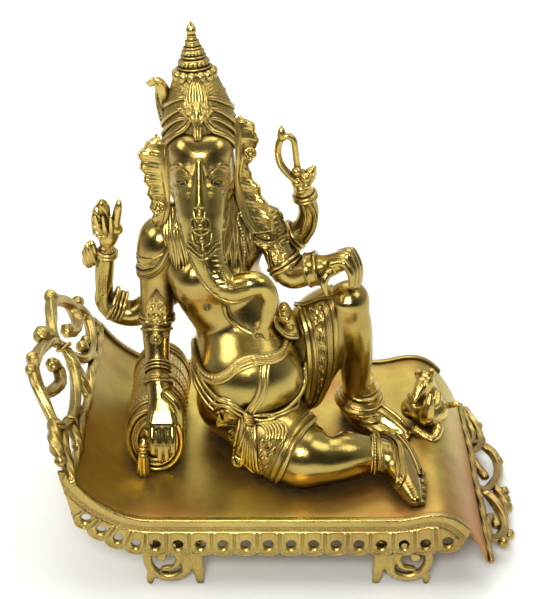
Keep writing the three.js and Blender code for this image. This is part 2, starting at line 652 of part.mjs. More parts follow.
function addCastings() {
  const grown = [];
  const screwCuts = screwPlaces.map(([x, y]) => screwHole(x, y));
  for (const [name, shape] of Object.entries(castings)) {
    let body = aboveSeat(shape(0));
    for (const neighbour of [...grown, ...screwCuts]) {
      if (boxesMeet(body.boundingBox(), neighbour.boundingBox())) body = body.subtract(neighbour);
    }
    if (name === "torso") body = body.subtract(torsoCavity());
    grown.push(shape(GAP));
    add(name, body, polished);
  }
}

add("seat_sheet", seatSheet(), aged);
for (const [place, side] of [["front", -1], ["back", 1]]) {
  const face = side < 0 ? -SEAT_HALF_DEPTH - GAP : SEAT_HALF_DEPTH + GAP + APRON;
  let body = apron(face);
  for (const [hand, x] of Object.entries(LEG_PLACES)) {
    body = body.subtract(pinHole(x, side));
    add(`${place}_${hand}_leg`, leg(x, side), cast);
    add(`${place}_${hand}_pin`, pin(x, side), cast);
  }
  add(`${place}_apron`, body, cast);
}
add("head_crest", crest(HEAD_EDGE, -1, 49), cast);
add("foot_crest", crest(FOOT_EDGE, 1, -14), cast);
addCastings();
FIGURE_SCREWS.forEach(([x, y], i) => add(`figure_screw_${i + 1}`, screw(x, y), steel));
add("bolster_screw", screw(...BOLSTER_SCREW[0]), steel);
add("mouse_screw", screw(...MOUSE_SCREW[0]), steel);

export default idol;
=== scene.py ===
import json
import math

import bpy
import numpy as np
import openvdb as vdb
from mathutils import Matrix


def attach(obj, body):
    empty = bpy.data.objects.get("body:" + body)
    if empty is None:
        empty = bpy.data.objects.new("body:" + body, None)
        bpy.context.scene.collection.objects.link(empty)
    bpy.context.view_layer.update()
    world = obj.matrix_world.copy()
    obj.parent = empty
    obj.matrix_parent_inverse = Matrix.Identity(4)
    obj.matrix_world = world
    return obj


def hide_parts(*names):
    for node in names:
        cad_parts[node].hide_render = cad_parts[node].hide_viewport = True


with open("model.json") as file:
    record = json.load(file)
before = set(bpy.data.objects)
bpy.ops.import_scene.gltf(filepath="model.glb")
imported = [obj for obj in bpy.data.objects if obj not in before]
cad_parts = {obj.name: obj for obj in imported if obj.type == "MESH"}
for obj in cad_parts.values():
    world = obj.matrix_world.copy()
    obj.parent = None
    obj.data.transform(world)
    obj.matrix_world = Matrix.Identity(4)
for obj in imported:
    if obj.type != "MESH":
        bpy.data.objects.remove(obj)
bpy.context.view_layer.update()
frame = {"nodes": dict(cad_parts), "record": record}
MM = 0.001
FINE = 0.6  # voxel of the chased ornaments
BODY = 0.8  # voxel of the smooth castings
TAU = 2 * math.pi
CAMERA_PLACE = (-0.0078, -0.8001, 0.6244)
CAMERA_TILT = 60  # degrees up from looking straight down
LENS = 86.18
FRONT_GLOW, BACK_GLOW = 0.05, 0.55  # the room is bright behind the idol and dim in front
HEAD_X = -49.0  # the head's middle
LEG_Y = 86.5  # the middle of a leg's thickness, from the couch's centre line


def arr(points):
    return np.asarray(points, float)


def unit(v):
    v = arr(v)
    return v / np.maximum(np.linalg.norm(v, axis=-1, keepdims=True), 1e-9)


def smooth(points, count, closed=False):
    """A Catmull-Rom curve through rows of numbers, sampled evenly along the first three."""
    p = arr(points)
    p = np.vstack([p[-1:], p, p[:2]]) if closed else np.vstack([2 * p[0] - p[1], p, 2 * p[-1] - p[-2]])
    spans = len(p) - 3
    t = np.linspace(0, spans, spans * 24 + 1)
    i = np.minimum(t.astype(int), spans - 1)
    f = (t - i)[:, None]
    a, b, c, d = p[i], p[i + 1], p[i + 2], p[i + 3]
    q = 0.5 * (2 * b + (c - a) * f + (2 * a - 5 * b + 4 * c - d) * f**2 + (3 * b - a - 3 * c + d) * f**3)
    s = np.concatenate([[0], np.cumsum(np.linalg.norm(np.diff(q[:, :3], axis=0), axis=1))])
    want = np.linspace(0, s[-1], count, endpoint=not closed)
    return np.stack([np.interp(want, s, q[:, k]) for k in range(q.shape[1])], 1)


# ---------- meshes as (points, quads, triangles) ----------
def joined(*parts):
    """Several meshes (points, quads, triangles) as one."""
    points, quads, tris, base = [], [], [], 0
    for v, q, t in parts:
        points.append(v)
        quads.append(arr(q).reshape(-1, 4) + base)
        tris.append(arr(t).reshape(-1, 3) + base)
        base += len(v)
    return np.vstack(points), np.vstack(quads).astype(int), np.vstack(tris).astype(int)


def rings(grid, closed=False):
    """A skin over rings (n, m, 3). Open ends are closed to a pole in the middle."""
    n, m = grid.shape[:2]
    i, k = np.meshgrid(np.arange(n if closed else n - 1), np.arange(m), indexing="ij")
    j, l = (i + 1) % n, (k + 1) % m
    quads = np.stack([i * m + k, i * m + l, j * m + l, j * m + k], -1).reshape(-1, 4)
    points = grid.reshape(-1, 3)
    tris = np.zeros((0, 3), int)
    if not closed:
        points = np.vstack([points, grid[0].mean(0), grid[-1].mean(0)])
        k = np.arange(m)
        first = np.stack([np.full(m, n * m), (k + 1) % m, k], -1)
        last = np.stack([np.full(m, n * m + 1), (n - 1) * m + k, (n - 1) * m + (k + 1) % m], -1)
        tris = np.vstack([first, last])
    return points, quads, tris


def sweep(path, radius, sides=14, flat=1.0, closed=False, relief=None, up=None):
    """A tube along a path. relief(u, a) scales its radius, flat squashes it along its second axis."""
    p = arr(path)
    r = np.broadcast_to(arr(radius), (len(p),)).astype(float)
    u = np.linspace(0, 1, len(p), endpoint=not closed)
    tangent = np.roll(p, -1, 0) - np.roll(p, 1, 0) if closed else np.gradient(p, axis=0)
    tangent = unit(tangent)
    if not closed:
        k = np.linspace(0, 1, 5)[:-1]
        start = p[0] - tangent[0] * r[0] * np.cos(k * math.pi / 2)[:, None]
        end = p[-1] + tangent[-1] * r[-1] * np.sin((1 - k[::-1]) * math.pi / 2)[:, None]
        p = np.vstack([start, p, end])
        r = np.concatenate([
            r[0] * np.sin(k * math.pi / 2 + 0.05), r, r[-1] * np.cos((1 - k[::-1]) * math.pi / 2 - 0.05),
        ])
        u = np.concatenate([np.zeros(4), u, np.ones(4)])
        tangent = np.vstack([np.repeat(tangent[:1], 4, 0), tangent, np.repeat(tangent[-1:], 4, 0)])
    side = np.zeros_like(p)
    ref = arr(up if up is not None else (0, 0, 1))
    if up is None and abs(tangent[0] @ ref) > 0.9:
        ref = arr((0, 1, 0))
    for i in range(len(p)):
        side[i] = unit(ref - (ref @ tangent[i]) * tangent[i])
        if up is None:
            ref = side[i]
    if closed and up is None:
        slip = math.atan2(np.cross(side[-1], side[0]) @ tangent[0], side[-1] @ side[0])
        turns = slip * u
        other = np.cross(tangent, side)
        side = side * np.cos(turns)[:, None] + other * np.sin(turns)[:, None]
    other = np.cross(tangent, side)
    a = np.linspace(0, TAU, sides, endpoint=False)[None, :]
    rr = r[:, None] * (relief(u[:, None], a) if relief else 1)
    first = (rr * np.cos(a))[..., None] * side[:, None]
    second = (rr * np.sin(a) * flat)[..., None] * other[:, None]
    return rings(p[:, None] + first + second, closed)


def hoop(centre, axis, radius, r, count=64, squash=1.0, sides=14):
    """A ring around an axis; squash makes it oval."""
    z = unit(axis)
    x = unit(np.cross((0, 1, 0.2), z))
    y = np.cross(z, x)
    a = np.linspace(0, TAU, count, endpoint=False)[:, None]
    path = arr(centre) + radius * (np.cos(a) * x + squash * np.sin(a) * y)
    return sweep(path, r, sides, closed=True, up=z)


def beads(path, r):
    """Small balls set side by side along a path."""
    p = arr(path)
    length = np.linalg.norm(np.diff(p, axis=0), axis=1).sum()
    centres = smooth(p, max(2, round(length / (2 * r))))
    ball = unit_ball(8, 6)
    return joined(*[(c[:3] + ball[0] * r, ball[1], ball[2]) for c in centres])


def unit_ball(around, up):
    lat = np.linspace(0, math.pi, up + 2)[1:-1][:, None]
    lon = np.linspace(0, TAU, around, endpoint=False)[None, :]
    grid = np.stack([np.sin(lat) * np.cos(lon), np.sin(lat) * np.sin(lon), -np.cos(lat) + 0 * lon], -1)
    v, q, t = rings(grid)
    v[-2], v[-1] = (0, 0, -1), (0, 0, 1)
    return v, q, t


def pellet(centre, size, around=14, up=10):
    """A small ball, or an egg when size has three numbers."""
    v, q, t = unit_ball(around, up)
    return v * size + centre, q, t


def profile_curve(corners, count):
    """A lathe's profile rounded through its corners (radius, height)."""
    return smooth([(r, h, 0) for r, h in corners], count)[:, :2]


def lathe(profile, base, axis, count, relief=None):
    """profile rows (radius, height); relief(a, h) scales the radius."""
    z = unit(axis)
    x = unit(np.cross((0, 1, 0), z))
    y = np.cross(z, x)
    pr = arr(profile)
    a = np.linspace(0, TAU, count, endpoint=False)
    r = pr[:, :1] * (relief(a[None, :], pr[:, 1:]) if relief else np.ones((1, count)))
    ring_points = np.cos(a)[:, None] * x + np.sin(a)[:, None] * y
    grid = arr(base) + r[..., None] * ring_points[None] + pr[:, 1][:, None, None] * z
    return rings(grid)


def slab(top, bottom):
    """A closed plate between two grids of points (n, m, 3)."""
    n, m = top.shape[:2]
    index = np.arange(n * m).reshape(n, m)
    a = np.stack([index[:-1, :-1], index[1:, :-1], index[1:, 1:], index[:-1, 1:]], -1).reshape(-1, 4)
    loop = np.concatenate([index[0, :], index[1:, -1], index[-1, -2::-1], index[-2:0:-1, 0]])
    nxt = np.roll(loop, -1)
    walls = np.stack([loop, nxt, nxt + n * m, loop + n * m], -1)
    quads = np.vstack([a, a[:, ::-1] + n * m, walls])
    return np.vstack([top.reshape(-1, 3), bottom.reshape(-1, 3)]), quads, np.zeros((0, 3), int)


# ---------- modelling clay: a signed distance field on a voxel grid ----------
class Clay:
    def __init__(self, low, high, voxel=BODY):
        self.low, self.voxel = arr(low), voxel
        self.size = np.ceil((arr(high) - self.low) / voxel).astype(int) + 1
        self.axes = [(self.low[k] + voxel * np.arange(self.size[k])).astype(np.float32) for k in range(3)]
        self.field = np.full(self.size, 9.0, np.float32)

    def window(self, low, high):
        i = np.clip(np.floor((arr(low) - self.low) / self.voxel).astype(int), 0, self.size)
        j = np.clip(np.ceil((arr(high) - self.low) / self.voxel).astype(int) + 1, 0, self.size)
        part = tuple(slice(a, b) for a, b in zip(i, j))
        x, y, z = (self.axes[k][part[k]] for k in range(3))
        return part, x[:, None, None], y[None, :, None], z[None, None, :]

    def everywhere(self):
        return self.window(self.low, self.low + self.size * self.voxel)

    def copy(self):
        twin = Clay(self.low, self.low, self.voxel)
        twin.size, twin.axes, twin.field = self.size, self.axes, self.field.copy()
        return twin

    def add(self, part, d, k=0.0):
        f = self.field[part]
        if k <= 0:
            self.field[part] = np.minimum(f, d)
        else:
            h = np.clip(0.5 + 0.5 * (f - d) / k, 0, 1)
            self.field[part] = f + (d - f) * h - k * h * (1 - h)

    def carve(self, part, d, k=0.0):
        f = self.field[part]
        h = np.clip(0.5 + 0.5 * (f + d) / k, 0, 1) if k > 0 else (f < -d).astype(np.float32)
        h = 1 - h if k > 0 else h
        self.field[part] = f * (1 - h) - d * h + (k * h * (1 - h) if k > 0 else 0)

    def ball(self, centre, radii, k=3.0, turn=None, cut=False):
        c, r = arr(centre), np.broadcast_to(arr(radii), (3,))
        reach = r.max() + k + 3
        part, x, y, z = self.window(c - reach, c + reach)
        p = [x - c[0], y - c[1], z - c[2]]
        if turn is not None:
            m = rotation(*turn)
            p = [m[0, i] * p[0] + m[1, i] * p[1] + m[2, i] * p[2] for i in range(3)]
        s = np.sqrt(sum((q / w) ** 2 for q, w in zip(p, r))) + 1e-6
        g = np.sqrt(sum((q / w**2) ** 2 for q, w in zip(p, r))) + 1e-6
        d = (s * (s - 1) / g).astype(np.float32)
        (self.carve if cut else self.add)(part, np.minimum(d, 9), k)

    def limb(self, joints, k=3.0, step=2.0, cut=False):
        """A rounded rod through joints (x, y, z, radius)."""
        j = arr(joints)
        length = np.linalg.norm(np.diff(j[:, :3], axis=0), axis=1).sum()
        p = smooth(j, max(3, int(length / step) + 1)) if len(j) > 2 else j
        margin = j[:, 3].max() + k + 2
        part, x, y, z = self.window(p[:, :3].min(0) - margin, p[:, :3].max(0) + margin)
        d = np.full((x.shape[0], y.shape[1], z.shape[2]), 9.0, np.float32)
        for a, b in zip(p[:-1], p[1:]):
            reach = max(a[3], b[3]) + k + 2
            lo, hi = np.minimum(a, b)[:3] - reach, np.maximum(a, b)[:3] + reach
            sub = tuple(
                slice(np.searchsorted(ax.ravel(), lo[i]), np.searchsorted(ax.ravel(), hi[i]))
                for i, ax in enumerate((x, y, z))
            )
            px = x[sub[0]] - a[0]
            py = y[:, sub[1]] - a[1]
            pz = z[:, :, sub[2]] - a[2]
            v = b - a
            t = np.clip((px * v[0] + py * v[1] + pz * v[2]) / max(v[:3] @ v[:3], 1e-6), 0, 1)
            away = np.sqrt((px - t * v[0]) ** 2 + (py - t * v[1]) ** 2 + (pz - t * v[2]) ** 2)
            d[sub] = np.minimum(d[sub], away - (a[3] + t * v[3]))
        (self.carve if cut else self.add)(part, d, k)

    def relief(self, change, low=None, high=None):
        """Raises the surface by change(x, y, z) millimetres within a box."""
        low = self.low if low is None else low
        high = self.low + self.voxel * self.size if high is None else high
        part, x, y, z = self.window(low, high)
        self.field[part] -= change(x, y, z).astype(np.float32)

    def mesh(self):
        f = self.field.copy()
        f[0], f[-1], f[:, 0], f[:, -1], f[:, :, 0], f[:, :, -1] = (9,) * 6
        grid = vdb.FloatGrid(9.0)
        grid.copyFromArray(np.clip(f, -9, 9))
        points, quads = grid.convertToQuads(0.0)
        return points * self.voxel + self.low, quads.astype(int)[:, ::-1], np.zeros((0, 3), int)


def rotation(ax, ay, az):
    c, s = np.cos, np.sin
    rx = arr([[1, 0, 0], [0, c(ax), -s(ax)], [0, s(ax), c(ax)]])
    ry = arr([[c(ay), 0, s(ay)], [0, 1, 0], [-s(ay), 0, c(ay)]])
    rz = arr([[c(az), -s(az), 0], [s(az), c(az), 0], [0, 0, 1]])
    return rz @ ry @ rx


def ahead_of(x, y, z, point, normal):
    """How far places lie ahead of a plane."""
    return (x - point[0]) * normal[0] + (y - point[1]) * normal[1] + (z - point[2]) * normal[2]


def shifted(line, x, y, z):
    return [(p + x, q + y, r + z) for p, q, r in line]


def on_side(side, line):
    """A line beside the head's middle, on its left (1) or right (-1)."""
    return [(HEAD_X + side * x, *rest) for x, *rest in line]


def shares(count, rows, first=0.0):
    """Shares of the way along and across a grid."""
    return np.linspace(0, 1, count)[:, None], np.linspace(first, 1, rows)[None, :]


def placed(shape, origin, x_axis, y_axis):
    """A shape modelled in a local frame, set into the object's frame."""
    x = unit(x_axis)
    z = unit(np.cross(x, y_axis))
    y = np.cross(z, x)
    v, q, t = shape
    return v[:, :1] * x + v[:, 1:2] * y + v[:, 2:3] * z + arr(origin), q, t


def mirrored(shape, axis):
    v, q, t = shape
    v = v.copy()
    v[:, axis] *= -1
    return v, q[:, ::-1], t[:, ::-1]


def piece(name, shape, material, node):
    """A visual piece that stands in for one CAD node."""
    v, q, t = shape
    mesh = bpy.data.meshes.new(name)
    mesh.vertices.add(len(v))
    mesh.vertices.foreach_set("co", (v * MM).astype(np.float32).ravel())
    loops = np.concatenate([q.ravel(), t.ravel()]).astype(np.int32)
    mesh.loops.add(len(loops))
    mesh.loops.foreach_set("vertex_index", loops)
    starts = np.concatenate([np.arange(len(q)) * 4, len(q) * 4 + np.arange(len(t)) * 3]).astype(np.int32)
    mesh.polygons.add(len(starts))
    mesh.polygons.foreach_set("loop_start", starts)
    mesh.polygons.foreach_set("use_smooth", np.ones(len(starts), bool))
    mesh.update(calc_edges=True)
    mesh.validate()
    mesh.materials.append(material)
    thing = bpy.data.objects.new(name, mesh)
    bpy.context.scene.collection.objects.link(thing)
    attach(thing, "root")
    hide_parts(node)


def value_and_slope(clay, points):
    """The clay's distance and its direction of increase at points, by trilinear sampling."""
    p = (arr(points) - clay.low) / clay.voxel
    p = np.clip(p, 1, clay.size - 2.001)
    i = p.astype(int)
    f = p - i
    corners = np.zeros((2, 2, 2, len(p)))
    for a in (0, 1):
        for b in (0, 1):
            for c in (0, 1):
                corners[a, b, c] = clay.field[i[:, 0] + a, i[:, 1] + b, i[:, 2] + c]
    x, y, z = f.T
    along_x = corners[0] * (1 - x) + corners[1] * x
    along_y = along_x[0] * (1 - y) + along_x[1] * y
    value = along_y[0] * (1 - z) + along_y[1] * z
    gx = ((corners[1] - corners[0]).mean((0, 1)))
    gy = ((corners[:, 1] - corners[:, 0]).mean((0, 1)))
    gz = ((corners[:, :, 1] - corners[:, :, 0]).mean((0, 1)))
    return value, unit(np.stack([gx, gy, gz], 1))


def hug(clay, points, lift=0.0):
    """Moves points onto the clay's surface, or lift above it."""
    shape = np.shape(points)
    p = arr(points).reshape(-1, 3).copy()
    lift = np.broadcast_to(lift, shape[:-1]).reshape(-1)
    for _ in range(7):
        value, slope = value_and_slope(clay, p)
        p -= np.clip(value - lift, -3, 3)[:, None] * slope
    return p.reshape(shape)


def band(clay, points, r, count, lift, ends=0.6):
    """A raised line laid on the clay."""
    path = hug(clay, smooth(points, count), lift)
    u = np.linspace(0, 1, count)
    radius = r * (ends + (1 - ends) * np.clip(np.minimum(u, 1 - u) / 0.15, 0, 1))
    return sweep(path, radius, 10)


def bead_line(clay, points, r):
    return beads(hug(clay, smooth(points, 80), 0.5), r)


def patch(clay, grid, lift):
    """A thin relief laid on the clay over a grid of points (n, m, 3)."""
    lift = np.broadcast_to(lift, grid.shape[:2])
    return slab(hug(clay, grid, lift), hug(clay, grid, -0.8 + 0 * lift))


def between(one, two, count, rows):
    """A grid of points between two curves."""
    a, b = smooth(one, count), smooth(two, count)
    v = np.linspace(0, 1, rows)[None, :, None]
    return a[:, None] * (1 - v) + b[:, None] * v


# ---------- camera, floor and light ----------
def camera():
    data = bpy.data.cameras.new("camera")
    data.lens = LENS
    data.clip_start, data.clip_end = 0.05, 20
    thing = bpy.data.objects.new("camera", data)
    thing.location = CAMERA_PLACE
    thing.rotation_euler = (math.radians(CAMERA_TILT), 0, 0)
    bpy.context.scene.collection.objects.link(thing)
    bpy.context.scene.camera = thing


def floor():
    bpy.ops.mesh.primitive_plane_add(size=8, location=(0, 0, 0))
    plane = bpy.context.object
    plane.name = "floor"
    mat = bpy.data.materials.new("floor")
    mat.use_nodes = True
    shader = mat.node_tree.nodes["Principled BSDF"]
    shader.inputs["Base Color"].default_value = (0.86, 0.87, 0.86, 1)
    shader.inputs["Roughness"].default_value = 0.7
    plane.data.materials.append(mat)


def lamp(name, place, target, size, power, spread=180):
    data = bpy.data.lights.new(name, "AREA")
    data.shape = "RECTANGLE"
    data.size, data.size_y = size
    data.energy = power
    data.color = (1, 0.98, 0.95)
    data.spread = math.radians(spread)
    thing = bpy.data.objects.new(name, data)
    thing.location = place
    thing.rotation_euler = turned_to(arr(target) - arr(place))
    bpy.context.scene.collection.objects.link(thing)


def turned_to(way):
    """Turns a lamp's -Z along way."""
    x, y, z = unit(way)
    return (math.acos(-z), 0, math.atan2(-x, y) if abs(x) + abs(y) > 1e-6 else 0)


def studio():
    world = bpy.data.worlds.new("studio")
    world.use_nodes = True
    nodes, links = world.node_tree.nodes, world.node_tree.links
    back = nodes["Background"]
    coord = nodes.new("ShaderNodeTexCoord")
    split = nodes.new("ShaderNodeSeparateXYZ")
    links.new(coord.outputs["Generated"], split.inputs[0])
    ramp = nodes.new("ShaderNodeMapRange")
    ramp.inputs["From Min"].default_value = -0.7
    ramp.inputs["From Max"].default_value = 0.5
    ramp.inputs["To Min"].default_value = FRONT_GLOW
    ramp.inputs["To Max"].default_value = BACK_GLOW
    links.new(split.outputs["Y"], ramp.inputs["Value"])
    links.new(ramp.outputs["Result"], back.inputs["Strength"])
    back.inputs["Color"].default_value = (1, 0.99, 0.97, 1)
    bpy.context.scene.world = world
    lamp("key", (-0.12, -1.10, 1.0), (0, 0, 0.14), (0.42, 0.34), 14)
    lamp("left", (-0.9, -0.35, 1.1), (0, 0, 0.1), (0.6, 0.6), 5)
    lamp("right", (0.9, -0.3, 1.2), (0, 0, 0.1), (0.6, 0.6), 3)
    lamp("top", (0.0, 0.25, 1.7), (0, 0, 0), (1.2, 0.9), 9)
    lamp("back", (0, 1.3, 1.3), (0, 1.2, 0), (1.8, 0.8), 11, 100)
    scene = bpy.context.scene
    scene.view_settings.view_transform = "Standard"


# ---------- materials ----------
class Surface:
    """The nodes of one material; each method adds a node and returns its output."""

    def __init__(self, tree):
        self.node, self.link = tree.nodes.new, tree.links.new
        self.coord = self.node("ShaderNodeTexCoord").outputs["Object"]

    def noise(self, scale, detail, roughness=0.6):
        made = self.node("ShaderNodeTexNoise")
        made.inputs["Scale"].default_value = scale
        made.inputs["Detail"].default_value = detail
        made.inputs["Roughness"].default_value = roughness
        self.link(self.coord, made.inputs["Vector"])
        return made.outputs["Fac"]

    def ranged(self, value, a, b, c=0.0, d=1.0):
        made = self.node("ShaderNodeMapRange")
        for key, number in (("From Min", a), ("From Max", b), ("To Min", c), ("To Max", d)):
            made.inputs[key].default_value = number
        self.link(value, made.inputs["Value"])
        return made.outputs["Result"]

    def mixed(self, factor, one, two):
        made = self.node("ShaderNodeMix")
        made.data_type = "RGBA"
        self.link(factor, made.inputs[0])
        for socket, source in ((made.inputs[6], one), (made.inputs[7], two)):
            if isinstance(source, tuple):
                socket.default_value = (*source, 1)
            else:
                self.link(source, socket)
        return made.outputs[2]

    def maths(self, operation, one, two):
        made = self.node("ShaderNodeMath")
        made.operation = operation
        for socket, source in zip(made.inputs, (one, two)):
            if isinstance(source, (int, float)):
                socket.default_value = source
            else:
                self.link(source, socket)
        return made.outputs[0]


DARK_EARTH = (0.34, 0.20, 0.07)


def brass(name, bright, dull, patina_and_shade, gloss, patina_and_shade_reach, grain=0.25, mottle=0.5, stain=DARK_EARTH, stained=0.5):
    """Cast brass, bright on the open parts; an ambient-occlusion mask darkens the recesses and the places
    between pieces, partly real patina and partly painted shade.
    """
    mat = bpy.data.materials.new(name)
    mat.use_nodes = True
    shader = mat.node_tree.nodes["Principled BSDF"]
    shader.inputs["Metallic"].default_value = 1.0
    made = Surface(mat.node_tree)
    noise, ranged, mixed, maths, link = made.noise, made.ranged, made.mixed, made.maths, made.link
    # painted shade: ambient occlusion darkens recesses and the gaps between pieces towards the patina and shade
    # colour, partly real patina, partly painted shade
    shade = made.node("ShaderNodeAmbientOcclusion")
    shade.samples = 6
    shade.inputs["Distance"].default_value = patina_and_shade_reach
    recess = ranged(shade.outputs["AO"], 0.42, 0.93, 1.0, 0.0)
    broken = ranged(noise(260, 4), 0.3, 0.7, 0.75, 1.15)
    patina_and_shade_amount = maths("MINIMUM", maths("MULTIPLY", recess, broken), 1.0)
    tone = mixed(ranged(noise(28, 5), 0.5 - 0.3 * mottle, 0.5 + 0.3 * mottle), dull, bright)
    tone = mixed(ranged(noise(11, 4), 0.45, 0.68, 0.0, stained), tone, stain)
    link(mixed(patina_and_shade_amount, tone, patina_and_shade), shader.inputs["Base Color"])
    fleck = ranged(noise(900, 3), 0.3, 0.75, gloss * 0.85, gloss * 1.3)
    rough = maths("ADD", fleck, maths("MULTIPLY", patina_and_shade_amount, 0.32))
    link(rough, shader.inputs["Roughness"])
    grainy = made.node("ShaderNodeBump")
    grainy.inputs["Strength"].default_value = grain
    grainy.inputs["Distance"].default_value = 0.0004
    link(noise(520, 5, 0.7), grainy.inputs["Height"])
    link(grainy.outputs["Normal"], shader.inputs["Normal"])
    return mat


camera()
floor()
studio()
# the third colour of each is the patina and painted shade in the recesses; the number after the gloss is how
# far that painted shade reaches
POLISHED = brass(
    "brass_polished", (0.57, 0.44, 0.12), (0.36, 0.27, 0.07), (0.06, 0.042, 0.014), 0.17, 0.009, 0.25, 0.7,
)
CHASED = brass(
    "brass_chased", (0.74, 0.57, 0.17), (0.54, 0.40, 0.11), (0.07, 0.045, 0.014), 0.22, 0.005, 0.35, 0.6,
)
CAST = brass("brass_cast", (0.58, 0.45, 0.13), (0.42, 0.31, 0.09), (0.07, 0.045, 0.018), 0.28, 0.006, 0.45, 0.6)
SHEET = brass(
    "brass_seat", (0.62, 0.48, 0.12), (0.42, 0.32, 0.07), (0.14, 0.08, 0.03), 0.38, 0.010, 0.35, 0.5,
    (0.46, 0.18, 0.05), 0.85,
)
STEEL = brass("steel_screws", (0.55, 0.55, 0.54), (0.42, 0.42, 0.41), (0.08, 0.07, 0.06), 0.35, 0.004)


# ---------- the couch ----------
SEAT_Z = 56.0
SHEET_THICKNESS = 3.0
GAP = 0.35  # between neighbouring castings
APRON_HALF = 1.75
LEG_X = {"right": -69, "left": 77.5}
SEAT_HALF_DEPTH = 90.0
HEM_Z = 28.0
HEAD_EDGE = (-130.0, 88.0)
FOOT_EDGE = (133.0, 21.0)
SEAT_CURVE = [
    (HEAD_EDGE, (-117, 67), (-100, SEAT_Z), (-80, SEAT_Z)),
    ((-80, SEAT_Z), (-30, SEAT_Z), (20, SEAT_Z), (70, SEAT_Z)),
    ((70, SEAT_Z), (82, SEAT_Z), (88, 61), (99, 60)),
    ((99, 60), (112, 58.5), (124, 44), FOOT_EDGE),
]
HEM_CURVE = [
    ((-134, 58), (-122, 42), (-104, HEM_Z), (-84, HEM_Z)),
    ((-84, HEM_Z), (-30, HEM_Z), (24, HEM_Z), (78, HEM_Z)),
    ((78, HEM_Z), (90, HEM_Z), (100, 30), (113, 31)),
]


def bezier(t, a, b, c, d):
    start, end = (1 - t) ** 3 * arr(a), t**3 * arr(d)
    return start + 3 * (1 - t) ** 2 * t * arr(b) + 3 * (1 - t) * t**2 * arr(c) + end


def bezier_line(spans, count):
    """Evenly spaced points of joined Bezier curves, and the length along them."""
    t = np.linspace(0, 1, 60)[:, None]
    dense = np.vstack([bezier(t, *span) for span in spans])
    s = np.concatenate([[0], np.cumsum(np.linalg.norm(np.diff(dense, axis=0), axis=1))])
    want = np.linspace(0, s[-1], count)
    return np.stack([np.interp(want, s, dense[:, k]) for k in (0, 1)], 1), want


def beside(x, z, line, lengths):
    """How far points lie above a line, and how far along it."""
    best = np.full(x.shape, 1e9)
    height = np.zeros(x.shape)
    along = np.zeros(x.shape)
    for a, b, s in zip(line[:-1], line[1:], lengths):
        v = b - a
        size = math.hypot(*v)
        t = ((x - a[0]) * v[0] + (z - a[1]) * v[1]) / size**2
        t = np.clip(t, 0, 1)
        dx, dz = x - a[0] - t * v[0], z - a[1] - t * v[1]
        d = dx**2 + dz**2
        near = d < best
        best[near] = d[near]
        height[near] = (np.sqrt(d) * np.sign(v[0] * dz - v[1] * dx))[near]
        along[near] = (s + t * size)[near]
    return height, along


def bump(value, centre, width):
    """A smooth rise of height 1 around centre."""
    return np.exp(-(((value - centre) / width) ** 2))


def seat():
    """The curled brass sheet, slightly dented."""
    line, _ = bezier_line(SEAT_CURVE, 160)
    slope = unit(np.gradient(line, axis=0))
    normal = np.stack([-slope[:, 1], slope[:, 0]], 1)
    depth = SEAT_HALF_DEPTH * np.sin(np.linspace(-1, 1, 40) * math.pi / 2)
    rounding = 0.9 * (np.abs(depth) / SEAT_HALF_DEPTH) ** 30
    dent = 0.35 * np.sin(line[:, :1] * 0.045 + 1) * np.sin(depth[None] * 0.05 + 0.5)

    def face(drop, sign):
        at = line[:, None, :] + normal[:, None, :] * (-drop - sign * rounding[None, :] + dent)[..., None]
        return np.stack([at[..., 0], np.broadcast_to(depth, at.shape[:2]), at[..., 1]], -1)

    flat = np.zeros((len(line), len(depth)))
    return slab(face(flat, 1), face(flat + SHEET_THICKNESS, -1))


def apron():
    """Modelled with its face towards +Y, around y = 0."""
    voxel = 0.45
    clay = Clay((-140, -3, 22), (126, 4.5, 94), voxel)
    x, z = np.meshgrid(clay.axes[0].astype(float), clay.axes[2].astype(float), indexing="ij")
    seat_line, seat_s = bezier_line(SEAT_CURVE, 240)
    hem_line, hem_s = bezier_line(HEM_CURVE, 240)
    over_seat, along_seat = beside(x, z, seat_line, seat_s)
    rise, along = beside(x, z, hem_line, hem_s)
    drop = -over_seat
    count = round(hem_s[-1] / 14.2)
    pitch = hem_s[-1] / count
    c = (along / pitch) % 1 * pitch - pitch / 2
    lobe = 3.6 * (1 - np.sqrt(np.clip(1 - (c / (pitch / 2)) ** 2, 0, 1)))
    end = np.maximum(x - 121 + 0.35 * (56 - z), -137 + 0.2 * (90 - z) - x)
    mask = np.maximum.reduce([-(drop + 1.4), lobe - rise, end])
    hole = np.hypot(c, rise - 9.3)
    mask = np.maximum(mask, 3.3 - hole)
    cup = np.where(rise > 9.3, np.abs(np.abs(c) - 5.0), np.abs(hole - 5.0))
    below_band = np.clip((drop - 8.5) / 1.0, 0, 1)
    face = 0.9 + 1.5 * np.clip(1 - ((drop - 1.6) / 3.4) ** 2, 0, 1) ** 0.5
    face += 0.75 * bump(drop, 6.6, 0.75) * (0.45 + 0.55 * np.cos(along_seat * TAU / 1.9))
    face += 0.8 * bump(drop, 9.0, 0.7)
    face += below_band * 0.9 * np.exp(-((cup / 0.85) ** 2)) * (rise < drop + rise - 9)
    rib = np.abs(np.abs(c) - pitch / 2)
    hatch = 0.75 + 0.25 * np.cos(rise * TAU / 1.5)
    face += below_band * 0.85 * bump(rib, 1.15, 0.6) * hatch * (rise > 3)
    face += 0.7 * bump(rise - lobe, 1.2, 0.8) * below_band
    y = clay.axes[1].astype(float)[None, :, None]
    solid = np.maximum(mask[:, None, :], np.maximum(y - face[:, None, :], -APRON_HALF - y))
    clay.field[:] = np.clip(solid, -9, 9)
    return clay.mesh()


